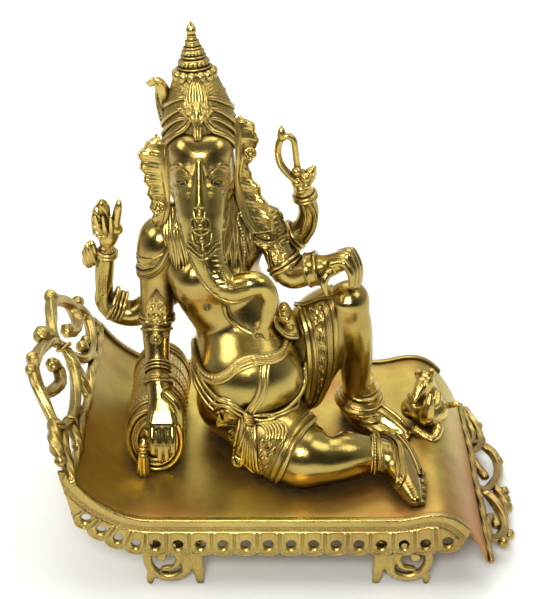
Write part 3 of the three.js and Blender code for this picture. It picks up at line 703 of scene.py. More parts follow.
def vine(points, r, twist=2.5, ends=(0.75, 0.75)):
    """A fluted stem that runs through local points (x, y[, z])."""
    p = arr([tuple(q) + (0,) * (3 - len(q)) for q in points])
    path = smooth(p, max(12, int(np.linalg.norm(np.diff(p, axis=0), axis=1).sum() / 1.1)))
    u = np.linspace(0, 1, len(path))
    start = ends[0] + (1 - ends[0]) * np.clip(u / 0.25, 0, 1)
    stop = ends[1] + (1 - ends[1]) * np.clip((1 - u) / 0.25, 0, 1)

    def flute(t, a):
        return 1 + 0.13 * np.cos(5 * a + twist * TAU * t)

    return sweep(path, r * start * stop, 20, relief=flute, up=(0, 0, 1))


def bud(x, y, r, way):
    """A ribbed leaf bud that ends a stem."""
    way = arr((*way, 0.15))
    profile = [(0.05, -1.0), (0.55, -0.85), (0.9, -0.4), (1, 0.1), (0.8, 0.6), (0.5, 0.95), (0.05, 1.25)]
    dense = profile_curve([(a * r, b * r) for a, b in profile], 22)
    return lathe(dense, (x, y, 0), way, 40, lambda a, h: 1 + 0.16 * np.abs(np.cos(5 * a / 2 + h * 0.25)))


def head_crest():
    """The openwork on the raised end, in its own plane: x across the couch, y up the sheet."""
    stems = [
        vine([(-62, 23), (-55, 33), (-46, 46), (-36, 52), (-24, 53), (-5, 49), (10, 43), (19, 32)], 3.9),
        vine([(19, 32), (14, 21), (-2, 13), (-22, 9.5), (-43, 11), (-58, 17), (-63, 24)], 3.6),
        vine([(-50, 41), (-36, 33), (-20, 27), (-9, 30), (-11, 38)], 4.0, ends=(0.6, 1.0)),
        vine([
            (14, 38), (22, 45), (34, 49), (50, 51), (63, 44), (70, 33), (63, 24), (48, 26), (40, 32),
        ], 4.1, ends=(0.8, 1.1)),
        vine([(70, 33), (79, 26), (80, 15), (68, 8), (49, 6), (33, 10), (22, 20), (17, 30)], 3.7),
        vine([(-92, 0), (-60, -1.5), (-30, 1), (0, -1.5), (30, 1), (60, -1.5), (86, 0)], 3.2, twist=9),
        vine([(-62, 24), (-76, 20), (-86, 12)], 4.2, ends=(1, 0.5)),
        vine([(-59, 17), (-74, 11), (-85, 4), (-92, -2)], 3.8, ends=(1, 0.8)),
        vine([(-44, 10), (-52, 2), (-58, -3)], 3.6),
        vine([(19, 26), (9, 12), (1, 0)], 4.4, ends=(0.8, 0.7)),
        vine([(33, 10), (46, 2), (56, -2)], 3.4),
        vine([(78, 18), (84, 8), (80, -1)], 3.3),
        vine([(-20, 9), (-26, 3), (-22, -2)], 2.8),
        hoop((-62, 22, 0), (-0.7, -0.5, 0), 4.4, 1.5),
        hoop((-64.5, 20.5, 0), (-0.7, -0.5, 0), 4.2, 1.3),
        hoop((19, 31, 0), (0.4, 1, 0), 4.6, 1.5),
        hoop((-44, 10.5, 0), (1, 0, 0), 4.2, 1.2),
    ]
    buds = [
        (54, 53.5, 4.4, (0.2, 1)), (84, 28, 4.2, (1, 0.6)), (5, 52, 5.6, (0.2, 1)),
        (-27, 55, 4.2, (-0.2, 1)), (-39, 54, 3.8, (-0.4, 1)), (43, 14, 4.2, (-0.2, 1)),
        (53, 12, 3.6, (0.3, 1)), (-87, 12, 3.4, (-1, -0.6)), (-10, 36, 4.4, (0.2, -1)),
        (40, 31, 4.6, (-1, -0.3)), (-57, 0, 3.4, (-1, -0.6)), (12, 48, 4.2, (0.8, 1)),
    ]
    return joined(*stems, *[bud(*place) for place in buds])


def foot_crest():
    """The openwork on the rolled-down end, in its own plane."""
    stems = [
        vine([(-88, 1.5), (-60, 0.5), (-30, 2), (0, 0.5), (30, 2), (60, 0.5), (88, 1.5)], 2.9, twist=9),
        vine([(86, 6), (70, 12), (54, 14), (42, 11), (33, 5)], 3.0),
        vine([(86, 4), (72, 5), (58, 8), (44, 6)], 2.4),
        vine([(42, 5), (46, 14), (42, 22), (32, 25), (16, 23), (2, 17), (-10, 9)], 3.2),
        vine([(26, 2), (15, 5), (7, 11)], 3.1, ends=(0.7, 1)),
        vine([(-12, 3), (-14, 10), (-22, 16), (-36, 19), (-50, 17), (-60, 11), (-63, 4)], 3.5),
        vine([(-72, 2), (-57, 3), (-45, 5), (-40, 10), (-46, 12)], 3.1, ends=(0.7, 1)),
        vine([(0, 17), (-8, 21), (-20, 23), (-30, 21)], 3.4),
    ]
    buds = [
        (33, 26, 3.6, (0.4, 1)), (-3, 25, 3.6, (0.3, 1)), (-12, 25, 3.4, (0, 1)),
        (-20, 25, 3.4, (-0.4, 1)), (-51, 21, 3.6, (-0.2, 1)), (-62, 15, 3.6, (-1, 0.8)),
        (70, 15, 3.0, (0.4, 1)), (52, 15, 3.0, (0, 1)),
    ]
    return joined(*stems, *[bud(*place) for place in buds])


def leg():
    """Local x runs towards the couch's middle, y up, z out of the face."""
    clay = Clay((-23, -2, -3.4), (23, 54, 4.4), FINE)
    part, x, y, z = clay.everywhere()

    def stroke(points, k=1.2):
        clay.limb([(px, py, 0, r) for px, py, r in points], k, 1.0)

    angle = np.radians(np.linspace(100, 375, 26))
    ring = np.stack([-3.3 + 13.6 * np.cos(angle), 20 + 14.0 * np.sin(angle), np.full(26, 3.0)], 1)
    stroke(ring)
    stroke([(-3, 34, 3), (8, 31, 3.0), (12, 22, 3.2)])
    stroke([(-8, 23, 3.6), (-8.2, 23, 3.7), (-8, 22.8, 3.6)])
    stroke([(-9, 24, 2.4), (-2, 27, 2.2), (3, 21, 2.2), (0, 14.5, 2.2), (-7, 12.5, 2.0)])
    stroke([(3, 28, 2.2), (7, 22, 2.2), (6, 14, 1.8)])
    for offset, foot in ((0, 15.3), (2.6, 16.6), (5, 17.4)):
        stroke([(10.5 + offset, 34, 2.3), (12.5 + 0.8 * offset, 18, 2.2), (foot, 1.9, 1.5)], 0.5)
    stroke([(-15, 9, 3.0), (-16, 4, 2.4), (-16, 1.8, 1.8)])
    clay.field[:] = np.maximum(clay.field, np.abs(z) - 2.6)
    plate = np.maximum(np.maximum(np.abs(x) - 13, np.abs(y - 40) - 12.4), np.abs(z) - 2.4)
    clay.add(part, plate.astype(np.float32), 0.6)
    middle = np.hypot(x + 3.3, y - 20)
    turn = np.arctan2(y - 20, x + 3.3)
    clay.field -= (
        0.7 * bump(middle, 13.8, 1.1) * (0.5 + 0.5 * np.cos(turn * 44)) * (z > 0) * (y < 31)
    ).astype(np.float32)
    clay.field[:] = np.maximum(clay.field, 0.15 - y)
    return clay.mesh()


BOLSTER_X, BOLSTER_Z = -82, 81
BOLSTER_HALF = 40.0
BOLSTER_RX, BOLSTER_RZ = 18.5, 25.2


def oval(across, up, y, count):
    """An oval round the bolster's axis."""
    t = np.linspace(0, TAU, count, endpoint=False)
    return np.stack([BOLSTER_X + across * np.cos(t), 0 * t + y, BOLSTER_Z + up * np.sin(t)], 1)


def bolster_end(end):
    """Rings, a string of beads and eight petals on one end disc."""
    parts = []
    for share, r in ((0.93, 1.6), (0.78, 1.1), (0.62, 1.3), (0.3, 1.2)):
        path = oval(BOLSTER_RX * share, BOLSTER_RZ * share, end * (BOLSTER_HALF + 0.6), 90)
        parts.append(sweep(path, r, 8, closed=True, up=(0, 1, 0)))
    face = end * (BOLSTER_HALF + 0.8)
    path = oval(BOLSTER_RX * 0.70, BOLSTER_RZ * 0.70, face, 60)
    parts.append(beads(np.vstack([path, path[:1]]), 0.9))
    centre = arr((BOLSTER_X, face, BOLSTER_Z))
    for k in range(8):
        way = arr((math.cos(TAU * k / 8), 0, math.sin(TAU * k / 8) * 1.3))
        petal = smooth([centre + way * 3, centre + way * 6.5 + (0, end * 0.8, 0), centre + way * 9.5], 9)
        parts.append(sweep(petal, [0.6, 1.2, 1.6, 1.9, 2, 1.9, 1.6, 1.1, 0.5], 8))
    return parts


def bolster_shape():
    """The bolster's woven barrel with its end discs, its axis along Y."""
    half = BOLSTER_HALF
    y = np.linspace(-half, half, 161)
    a = np.linspace(0, TAU, 220, endpoint=False)
    barrel = 1 + 0.03 * np.cos(y / half * math.pi / 2) - 0.10 * (np.abs(y) / half) ** 14
    weave = np.sin(a[None, :] * 24 + y[:, None] * 0.62) * np.sin(a[None, :] * 24 - y[:, None] * 0.62)
    bands = 0.012 * np.cos(y * TAU / 8)[:, None]
    r = barrel[:, None] * (1 + 0.02 * weave * (np.abs(y) < half - 4)[:, None] + bands)
    x, z = BOLSTER_X + BOLSTER_RX * r * np.cos(a), BOLSTER_Z + BOLSTER_RZ * r * np.sin(a)
    z = np.maximum(z, SEAT_Z + 0.3)
    parts = [rings(np.stack([x, np.broadcast_to(y[:, None], r.shape), z], -1))]
    parts += bolster_end(-1) + bolster_end(1)
    for hoop_y in (-34, -30, 30, 34):
        path = oval(BOLSTER_RX + 0.3, BOLSTER_RZ + 0.3, hoop_y, 120)
        path[:, 2] = np.maximum(path[:, 2], SEAT_Z + 1)
        parts.append(sweep(path, 1.1, 8, closed=True, up=(0, 1, 0)))
    return joined(*parts)


def tassel():
    """The tassel that hangs from the front end of the bolster."""
    drop = smooth([(-89, -43, 82), (-89.5, -45.5, 74), (-90, -46, 64), (-90.2, -45.5, 58)], 40)
    r = np.interp(np.linspace(0, 1, 40), [0, 0.1, 0.2, 0.3, 0.36, 0.45, 1], [2.2, 3, 2.2, 2.6, 1.8, 3, 4.3])
    strands = sweep(drop, r, 40, relief=lambda u, a: 1 + 0.13 * np.cos(9 * a) * (u > 0.36))
    return joined(strands, hoop(drop[14], (0, 0, 1), 2.4, 0.9), hoop(drop[7], (0, 0, 1), 2.6, 0.9))


def couch():
    piece("seat", seat(), SHEET, "seat_sheet")
    skirt = apron()
    rim = SEAT_HALF_DEPTH + GAP + APRON_HALF
    front = mirrored(skirt, 1)
    piece("apron_front", (front[0] - (0, rim, 0), front[1], front[2]), CAST, "front_apron")
    piece("apron_back", (skirt[0] + (0, rim, 0), skirt[1], skirt[2]), CAST, "back_apron")
    for end, crest, edge, rise in (
        ("head", head_crest(), HEAD_EDGE, (-30, 0, 49)), ("foot", foot_crest(), FOOT_EDGE, (27, 0, -14)),
    ):
        shape = placed(crest, (edge[0], 0, edge[1]), (0, 1, 0), rise)
        piece(f"crest_{end}", shape, CAST, f"{end}_crest")
    shape = leg()
    for place, way in (("front", -1), ("back", 1)):
        for hand, inward in (("right", 1), ("left", -1)):
            v, q, t = shape
            v = np.stack([LEG_X[hand] + inward * v[:, 0], way * (LEG_Y + v[:, 2]), v[:, 1]], 1)
            q = q if inward * way < 0 else q[:, ::-1]
            piece(f"leg_{place}_{hand}", (v, q, t), CAST, f"{place}_{hand}_leg")
    piece("bolster_body", bolster_shape(), CHASED, "bolster")
    piece("tassel", tassel(), CHASED, "bolster_tassel")


couch()


# ---------- the head, the trunk and the crown ----------
CROWN_BASE = arr((-49.5, 1, 271))
CROWN_AXIS = unit((-4.5, 5, 75))
CROWN_SHELL = [(-49.5, 1, 276, 22.3), (-50.2, 2.2, 287, 21.4), (-51, 3.2, 298, 17.8), (-51.8, 4.2, 308, 14.2)]
TRUNK = [
    (-48.5, -32, 247, 13.4), (-47.0, -44, 229, 11.8), (-43.2, -52, 217, 9.6), (-38.5, -56, 209.5, 9.1),
    (-33.7, -58, 205.5, 8.9), (-28.3, -59, 204.3, 8.8), (-19.1, -60, 207.6, 8.0), (-11.9, -59.5, 206.0, 6.4),
    (-7.5, -59, 197.2, 5.2), (-9.0, -59, 185.1, 4.2), (-10.6, -59, 176.7, 3.2), (-9.4, -60.5, 169.6, 1.3),
]
TRUNK_CUT = (arr((-47.2, -45, 228)), unit((0.12, -0.45, -1)))


def skull(clay):
    """The domed forehead, from which the trunk starts."""
    clay.ball((HEAD_X - 0.5, -3, 262), (20.5, 24, 27), 2)
    for side in (-1, 1):
        clay.ball((HEAD_X + side * 7.5, -15, 275), (11.5, 12, 11.5), 6)
    clay.limb([(HEAD_X, -16, 266, 17.5), (HEAD_X, -27, 254, 15.6), (HEAD_X + 0.3, -36, 243, 13.4)], 5)


def model_head():
    """Head, trunk, eyes, brows, cheeks and tusks in one clay."""
    clay = Clay((-80, -76, 160), (8, 26, 296), FINE)
    skull(clay)
    clay.limb(TRUNK, 5, 1.5)
    clay.limb([(-10.6, -59, 179, 2.6), (-13.6, -60, 175.5, 1.9), (-15.6, -61, 176.6, 1.2)], 1.6)
    for side in (-1, 1):
        clay.ball((HEAD_X + side * 11, -13, 252), (8.6, 13, 15), 6)
        clay.ball((HEAD_X + side * 8.5, -20, 238), (5.8, 9, 9), 5)
        clay.ball(
            (HEAD_X + side * 10.2, -34.4, 261.6), (4.4, 1.9, 2.0), 1.6, (0.3, side * 0.25, side * 0.45),
            cut=True,
        )
        clay.ball((HEAD_X + side * 10.2, -32.6, 261.4), (3.2, 1.3, 1.15), 0.6, (0.3, side * 0.25, side * 0.45))
        brow = [(6, -37.6, 268, 0.5), (9, -36, 270.5, 0.7), (13, -30, 270.5, 0.7), (17, -23, 266, 0.5)]
        clay.limb(on_side(side, brow), 2.5)
        cheek = [(5, -38.5, 260.5, 0.6), (9, -35.5, 255.6, 0.8), (14.5, -29, 256, 0.6)]
        clay.limb(on_side(side, cheek), 2.5)
        tusk = [(9.0, -30, 245, 4.0), (11.4, -36.5, 239.5, 3.2), (14.0, -41, 235.6, 2.2)]
        clay.limb(on_side(side, tusk), 2)
    clay.limb([
        (-49, -36, 276, 2.2), (-49, -42, 262, 2.6), (-48.6, -48, 247, 2.8), (-47.4, -54, 233, 2.4),
        (-44.6, -59.5, 219, 1.6),
    ], 4)

    def wrinkles(x, y, z):
        fold = np.sin((z + 0.45 * y) * TAU / 3.3) * 0.15
        lower = np.clip((238 - z) / 14, 0, 1) * np.clip(np.abs(x + 47.4) / 5 - 0.7, 0, 1)
        return fold * lower * (x < -33)

    clay.relief(wrinkles, (-66, -70, 196), (-30, -28, 242))
    for side in (-1, 1):
        for drop in (0, 3.2, 5.6):
            line = [
                (6 + drop, -37 + 0.4 * drop, 259.6 - drop), (10.5 + 0.5 * drop, -33.5, 257.8 - drop),
                (15.5 + 0.3 * drop, -28, 259 - drop),
            ]
            clay.carve(*scratch(clay, on_side(side, line), 0.45), 0.4)
    return clay


def eyelids(clay):
    """Thin lids and the creases at the outer corner of each eye."""
    parts = []
    for side in (-1, 1):
        rows = (
            ([(6.0, -38, 260.6), (8.4, -36.5, 262.8), (11.6, -34, 263.2), (14.6, -31, 261.4)], 0.45),
            ([(6.0, -38, 260.6), (8.6, -36.5, 259.9), (11.6, -34, 260.0), (14.6, -31, 261.4)], 0.4),
            ([(7.4, -38, 265.0), (10.0, -36, 266.4), (13.0, -33, 266.2), (16.0, -29, 263.6)], 0.35),
        )
        for line, r in rows:
            parts.append(band(clay, on_side(side, line), r, 40, 0.25))
    return joined(*parts)


def scratch(clay, points, r):
    """A scratch of radius r along points on the surface, as a window and a distance."""
    path = hug(clay, smooth(points, 30))
    reach = r + 3
    part, x, y, z = clay.window(path.min(0) - reach, path.max(0) + reach)
    d = np.full((x.shape[0], y.shape[1], z.shape[2]), 9.0, np.float32)
    for p in path:
        d = np.minimum(d, np.sqrt((x - p[0]) ** 2 + (y - p[1]) ** 2 + (z - p[2]) ** 2) - r)
    return part, d


def split(clay, point, normal, sink=0.12, overlap=1.5):
    """The clay cut across by a plane: the part behind it and the part ahead, which is tucked under."""
    _, x, y, z = clay.everywhere()
    ahead = ahead_of(x, y, z, point, normal).astype(np.float32)
    whole = clay.field
    clay.field = np.maximum(whole, ahead)
    behind_mesh = clay.mesh()
    clay.field = np.maximum(whole + sink * (ahead < 0.6), -ahead - overlap)
    ahead_mesh = clay.mesh()
    clay.field = whole
    return behind_mesh, ahead_mesh


def crown_clay():
    """The dome, and how far each place lies along its axis."""
    clay = Clay((-80, -34, 262), (-16, 36, 324), FINE)
    clay.limb(CROWN_SHELL, 0, 1.0)
    _, x, y, z = clay.everywhere()
    along = ahead_of(x, y, z, CROWN_BASE, CROWN_AXIS)
    clay.field[:] = np.maximum(clay.field, np.maximum(along - 43, -2.5 - along))
    return clay, along


def flutes(clay, along):
    """Fine upright flutes on the upper part of the dome."""
    _, x, y, _ = clay.everywhere()
    angle = np.arctan2(y - CROWN_BASE[1] - along * CROWN_AXIS[1], x - CROWN_BASE[0] - along * CROWN_AXIS[0])
    clay.field -= (0.28 * np.cos(angle * 58 + 0.12 * along) * (along > 12)).astype(np.float32)


def spire():
    """Five tiers with beads between them, and a bud on top."""
    tiers = ((12.4, 4.0, 45.6), (9.0, 3.2, 52.6), (6.6, 2.8, 58.2), (4.6, 2.3, 62.6), (3.2, 1.8, 65.6))
    profile = [(0.2, 40), (10.8, 40)]
    for r, half, h in tiers:
        profile += [
            (r * 0.80, h - half * 0.75), (r * 0.96, h - half * 0.45), (r, h), (r * 0.93, h + half * 0.35),
            (r * 0.74, h + half * 0.62),
        ]
    profile += [(1.9, 67.4), (2.9, 69.4), (3.0, 71.2), (2.0, 73.6), (0.15, 76.0)]
    dense = profile_curve(profile, 150)
    parts = [lathe(dense, CROWN_BASE, CROWN_AXIS, 96)]
    x = unit(np.cross((0, 1, 0), CROWN_AXIS))
    y = np.cross(CROWN_AXIS, x)
    v, q, t = unit_ball(12, 8)
    for radius, height, size, number in ((10.9, 44.4, 3.0, 13), (8.2, 51.6, 1.4, 20), (5.9, 57.6, 1.1, 18)):
        for k in range(number):
            a = TAU * (k + 0.5) / number
            way = math.cos(a) * x + math.sin(a) * y
            scale = size * (1 + 0.25 * np.abs(v[:, 2:]))
            parts.append((CROWN_BASE + way * radius + CROWN_AXIS * height + v * scale, q, t))
    for h, r in ((48.8, 9.6), (55.4, 7.1), (60.4, 5.1), (64.0, 3.7), (67.2, 2.4)):
        parts.append(hoop(CROWN_BASE + CROWN_AXIS * h, CROWN_AXIS, r, 0.7, sides=8))
    return joined(*parts)


def crown_leaf(clay):
    """The plaque on the front of the crown: a narrow stem, a flower with curls, a pointed arch."""
    u, v = shares(90, 61, -1)
    width = np.interp(u, (0, 0.28, 0.36, 0.46, 0.56, 0.7, 0.86, 1), (2.4, 2.6, 6.0, 10.2, 6.6, 6.6, 4.4, 0.6))
    grid = np.stack([-49.8 + width * v - 1.8 * u, -24 + 17 * u + 0 * v, 284 + 33 * u + 0 * v], -1)
    rim = bump(np.abs(v), 0.9, 0.1) + 0 * u
    arch = (u > 0.6) * (bump(np.abs(v), 0.5, 0.16) + bump(np.abs(v), 0, 0.14))
    stem = (u < 0.34) * bump(np.abs(v), 0, 0.3)
    curls = 0
    for x0, u0, r in ((-4.6, 0.47, 1.9), (4.6, 0.47, 1.9), (0, 0.54, 1.6)):
        d = np.hypot(v * width - x0, (u - u0) * 33)
        curls = curls + 1.1 * bump(d, r, 0.6) + 0.9 * bump(d, 0, 0.8)
    petals = (np.abs(u - 0.4) < 0.07) * np.abs(np.cos(v * 7))
    return patch(clay, grid, 1.7 + 1.0 * rim + 0.8 * arch + 0.9 * stem + 1.0 * curls + 0.5 * petals)


def crown_bands(clay):
    """Bands that leave the front plaque and wrap the dome; each stop is (degrees from the front, height)."""
    wraps = [
        ([(20, 306), (40, 305), (70, 299), (100, 292)], 1.7),
        ([(16, 300), (40, 298), (72, 288), (104, 279)], 1.6),
        ([(13, 295), (36, 293), (70, 282), (104, 273)], 1.5),
        ([(5, 299), (16, 291), (36, 281), (62, 275), (100, 269)], 1.5),
        ([(9, 302), (20, 294), (40, 285), (66, 278), (104, 272)], 1.1),
        ([(120, 302), (150, 299), (180, 298)], 1.5),
        ([(104, 287), (140, 284), (180, 283)], 1.5),
    ]
    parts = []
    for side in (-1, 1):
        for stops, r in wraps:
            line = []
            for degrees, z in stops:
                a, reach = math.radians(degrees), 24 - 0.28 * (z - 276)
                line.append((-50 + side * reach * math.sin(a), 2 - reach * math.cos(a), z))
            parts.append(band(clay, line, r, 60, 0.4))
            if r < 1.2:
                parts.append(bead_line(clay, shifted(line, 0, 0, -1.8), 0.7))
    return joined(*parts)


def plume():
    """The leaf that stands at the crown's right side."""
    stem = smooth([
        (-67, 7, 284, 4.8), (-69.5, 5, 293, 5.4), (-71, 3, 301, 4.8), (-72.5, 2, 308, 3.6),
        (-75.5, 2, 311, 2.8), (-79, 2, 309.6, 2.0),
    ], 80)
    parts = [
        sweep(
            stem[:, :3], stem[:, 3], 28, flat=0.55, relief=lambda u, a: 1 + 0.12 * np.cos(6 * a),
            up=(1, 0, 0),
        )
    ]
    parts.append(hoop((-69.6, 1.8, 294), (0.1, 1, 0.1), 3.0, 0.8))
    parts.append(beads([(-73, 1.5, 284.5), (-75, 1.2, 295), (-75.4, 0.8, 302)], 1.0))
    parts.append(pellet((-69.6, 1.4, 294), 1.8))
    return joined(*parts)


def ear(inner, outer, away):
    """A fluted fan between an inner and an outer edge; away is the way the face looks aside."""
    grid = between(inner, outer, 110, 46)
    u, v = shares(110, 46)
    ribs = np.cos(TAU * (u * 7.5 - 0.8 * v)) + 0.3 * np.cos(TAU * (u * 22.5 - 2.4 * v))
    reach = np.clip((v - 0.2) / 0.6, 0, 1)
    scallop = 0.8 * reach**3 * (ribs - 0.3)
    grid = grid + scallop[..., None] * arr((away, 0.4, 0))
    folds = 0.6 * np.cos(TAU * v * 4.2 + 0.6 + 1.2 * u) * np.clip(1 - (v - 0.1) / 0.42, 0, 1)
    height = 0.85 * ribs * reach + folds + 0.7 * bump(v, 0.97, 0.05)
    cup = 3.0 * (v - 0.45) ** 2 * 4
    normal = arr((0, -1, 0.1))
    rim = (4 * u * (1 - u)) ** 0.3
    top = grid + ((height + cup) * rim)[..., None] * normal
    low = grid + ((0.5 * height + cup) * rim - 3.2 * rim - 0.4)[..., None] * normal
    shape = slab(top, low)
    return shape if away < 0 else (shape[0], shape[1][:, ::-1], shape[2])


def rosette(centre, way, r):
    """A flower of eight balls in a ring."""
    parts = [hoop(centre, way, r, r * 0.22)]
    z = unit(way)
    x = unit(np.cross((0, 0, 1), z))
    y = np.cross(z, x)
    parts.append(pellet(arr(centre) + z * 0.6, r * 0.42, 12, 8))
    for k in range(8):
        a = TAU * k / 8
        place = arr(centre) + (math.cos(a) * x + math.sin(a) * y) * r * 0.66 + z * 0.3
        parts.append(pellet(place, r * 0.26, 12, 8))
    return joined(*parts)


def trunk_jewels(clay):
    """The chased ornament on the front of the trunk."""

    def middle(z):
        return -49.2 + 0.10 * (252 - z)

    parts = []
    for side in (-1, 1):
        for (x0, z0), (x1, z1) in (
            ((0.6, 254), (3.0, 247)), ((0.8, 248), (4.0, 239)), ((1.0, 241), (3.8, 232)),
        ):
            half = (z0 + z1) / 2 + 2
            loop = [
                (middle(z0) + side * x0, -54, z0), (middle(half) + side * (x1 + 0.8), -50, half),
                (middle(z1) + side * x1, -52, z1), (middle(z1) + side * x0 * 1.4, -56, z1 - 1),
            ]
            parts.append(band(clay, loop, 0.8, 40, 0.3))
    parts.append(bead_line(clay, [(-54.5, -50, 230), (-47.0, -58, 226.5), (-40, -50, 230)], 0.75))
    parts.append(band(clay, [(-55, -48, 228), (-46.8, -58, 223.5), (-39, -50, 228)], 0.85, 40, 0.2))
    for z, size in ((256.5, 1.1), (250, 1.6), (243, 1.7), (235, 1.5), (229.5, 1.2)):
        centre = hug(clay, [(middle(z), -56, z)], 0.2)[0]
        parts.append(pellet(centre, (size, size, size * 1.5)))
    spine = [
        (middle(226), -58, 226), (-44.6, -62, 218), (-41, -66, 211.5), (-36, -68, 207.5), (-29, -69, 206),
        (-20, -69, 208.5),
    ]
    parts.append(bead_line(clay, spine, 0.6))
    under = [
        (-56, -48, 223), (-52, -53, 212), (-46, -58, 203), (-37, -61, 197.5), (-28, -62, 196),
        (-18, -62, 200.5),
    ]
    parts.append(bead_line(clay, shifted(under, 0, -4, 0), 0.7))
    parts.append(band(clay, shifted(under, 1.2, -5, 2.0), 0.65, 80, 0.1))
    for k in range(3):
        inner = [
            (-37.5 + k, -60, 219 - 1.6 * k), (-33.5, -64, 212.5 - 1.5 * k), (-28, -66, 211.5 - 1.5 * k),
            (-21, -66, 213.4 - 1.2 * k),
        ]
        parts.append(bead_line(clay, inner, 0.55))
    return joined(*parts)


def head():
    """Places the head, the trunk, the crown and the ears."""
    clay = model_head()
    face, nose = split(clay, *TRUNK_CUT)
    dome, along = crown_clay()
    lift = Clay((-80, -52, 262), (-16, 36, 324), FINE)
    lift.limb(CROWN_SHELL, 0, 1.0)
    skull(lift)
    flutes(dome, along)
    piece("face", joined(face, eyelids(clay)), POLISHED, "head")
    nub = rosette((-15.2, -61, 173.0), (0.1, -1, 0.1), 2.6)
    piece("trunk_tube", joined(nose, trunk_jewels(clay), nub), POLISHED, "trunk")
    piece("dome", joined(dome.mesh(), crown_bands(lift)), CHASED, "crown_dome")
    piece("spire", spire(), CHASED, "crown_spire")
    piece("leaf", crown_leaf(lift), CHASED, "crown_plaque")
    piece("plume", plume(), CHASED, "right_plume")
    right = ear(
        [(-70, -4, 272), (-69, -8, 262), (-68.5, -9, 250), (-68.5, -8, 238), (-70, -5, 227), (-74, -2, 216)],
        [(-77, 3, 277), (-87, 2, 266), (-86.5, 2, 256), (-83.5, 2, 243), (-81.5, 1, 229), (-80.5, -1, 214)],
        -1,
    )
    left = ear(
        [
            (-29, -4, 289), (-28.5, -8, 274), (-28.5, -9, 260), (-28.5, -8, 247), (-27, -9, 236),
            (-24, -11, 226), (-18, -12, 216),
        ],
        [
            (-25, 3, 289), (-16, 2, 282), (-15.5, 2, 267), (-20, 2, 255), (-14, 0, 243), (-8.5, -3, 231),
            (-3.5, -8, 216),
        ],
        1,
    )
    piece("ear_right", joined(right, rosette((-76, -8, 232), (-0.2, -1, 0.2), 3.6)), CHASED, "right_ear")
    piece("ear_left", joined(left, rosette((-19.5, -7, 268), (0.2, -1, 0.2), 3.4)), CHASED, "left_ear")


head()


# ---------- the body, the limbs and what they wear ----------
TORSO = [
    (-18, 6, 86, 31), (-22, 4, 122, 34), (-28, 6, 146, 28.5), (-36, 8, 163, 27), (-43, 10, 190, 25),
    (-46, 9, 220, 15),
    (-48, 6, 236, 14),
]
THIGH_RIGHT = [(-16, -10, 84, 27), (-2, -36, 79, 25), (15, -49, 76, 20)]
CALF_RIGHT = [(15, -49, 76, 20), (26, -51, 75, 17.5), (40, -49, 75, 15.5), (56, -44, 72, 11.5)]
THIGH_LEFT = [
    (14, 8, 96, 17.5), (19, 6, 116, 21.5), (25, 3, 138, 21.4), (33, 0, 153, 16.6), (43, -4, 164, 10.8),
]
CALF_LEFT = [
    (43, -4, 164, 11), (47, -4, 149, 11), (49, 0, 131, 10.9), (50, 6, 111, 10.4), (50.3, 11, 92, 9.4),
    (50.8, 15, 80, 8.8),
]
ARMS = {
    "front_right": [
        (-76, 6, 205, 13.5), (-79, 3, 190, 12.6), (-80, 2, 171, 11), (-80.5, -1, 153, 10.5),
        (-81, -9, 140, 8.8),
        (-80, -18, 126, 7.5), (-79, -30, 120, 7.2),
    ],
    "front_left": [
        (-10, 8, 214, 11.5), (-5, 3, 204, 8.9), (-1, -2, 194, 9.2), (6, -5, 185, 10), (16, -8, 188, 8.8),
        (22, -9, 191, 7.8),
    ],
    "rear_right": [
        (-68, 16, 166, 11.5), (-82, 18, 152, 9.5), (-96, 18, 142, 8.8), (-109, 18, 144, 8.2),
        (-116, 18, 151, 6.8),
        (-116, 17, 161, 5.7), (-115, 16, 175, 6.3), (-112, 14, 191, 5.0),
    ],
    "rear_left": [
        (-10, 18, 197, 10), (4, 18, 196, 7.3), (14, 17, 206, 7), (17, 16.5, 217, 6.6), (15.5, 15, 226, 6.3),
        (13, 13, 235, 5.6),
    ],
}


def trunk_of_body(clay):
    """Chest, belly and hips."""
    clay.limb(TORSO, 3)
    clay.ball((-21, -14, 114), (36, 34, 37), 8)
    clay.ball((-18, 6, 82), (38, 34, 30), 6)
    clay.ball((-56, -9, 180), (13, 12.5, 17), 9)
    clay.limb([(-61, 0, 181, 11.5), (-51.5, -2, 165, 14), (-45, 0, 152, 13)], 6)
    clay.ball((-34, -12, 185), (15, 12.5, 13), 9)
    clay.ball((-70, 5, 194), (11, 13, 15), 9)
    clay.ball((-24, 6, 200), (13, 13, 13), 9)


def body_clay():
    """The whole body as one surface for the ornaments to lie on."""
    clay = Clay((-100, -76, 52), (74, 44, 246), 1.0)
    trunk_of_body(clay)
    clay.limb(THIGH_RIGHT, 4)
    clay.limb(CALF_RIGHT, 4)
    clay.limb(THIGH_LEFT, 3)
    clay.limb(CALF_LEFT, 3)
    clay.limb(ARMS["front_right"], 4)
    clay.limb(ARMS["front_left"], 4)
    return clay


# ---------- pieces ----------
def ribbon(clay, path, width, relief):
    """A flat band laid on the clay; relief(u, v) is its height, v from -1 to 1 across it."""
    line = hug(clay, smooth(path, 90))
    _, out = value_and_slope(clay, line)
    way = unit(np.gradient(line, axis=0))
    across = unit(np.cross(out, way))
    u, v = shares(90, 13, -1)
    half = width / 2 * np.clip(np.minimum(u, 1 - u) / 0.04, 0.35, 1)
    grid = line[:, None] + (half * v)[..., None] * across[:, None]
    return patch(clay, grid, relief(u, v) + 0 * u * v)


def hem(u, v):
    """Two raised edges with a hollow between."""
    return 0.9 + 0.8 * bump(np.abs(v), 0.78, 0.2)


def ridge(low, high, width):
    """One raised line along the middle."""
    return lambda u, v: low + high * bump(v, 0, width)


def beaded(pitch):
    def relief(u, v):
        return hem(u, v) + 0.9 * bump(v, 0, 0.3) * (0.6 + 0.4 * np.cos(TAU * pitch * u))

    return relief


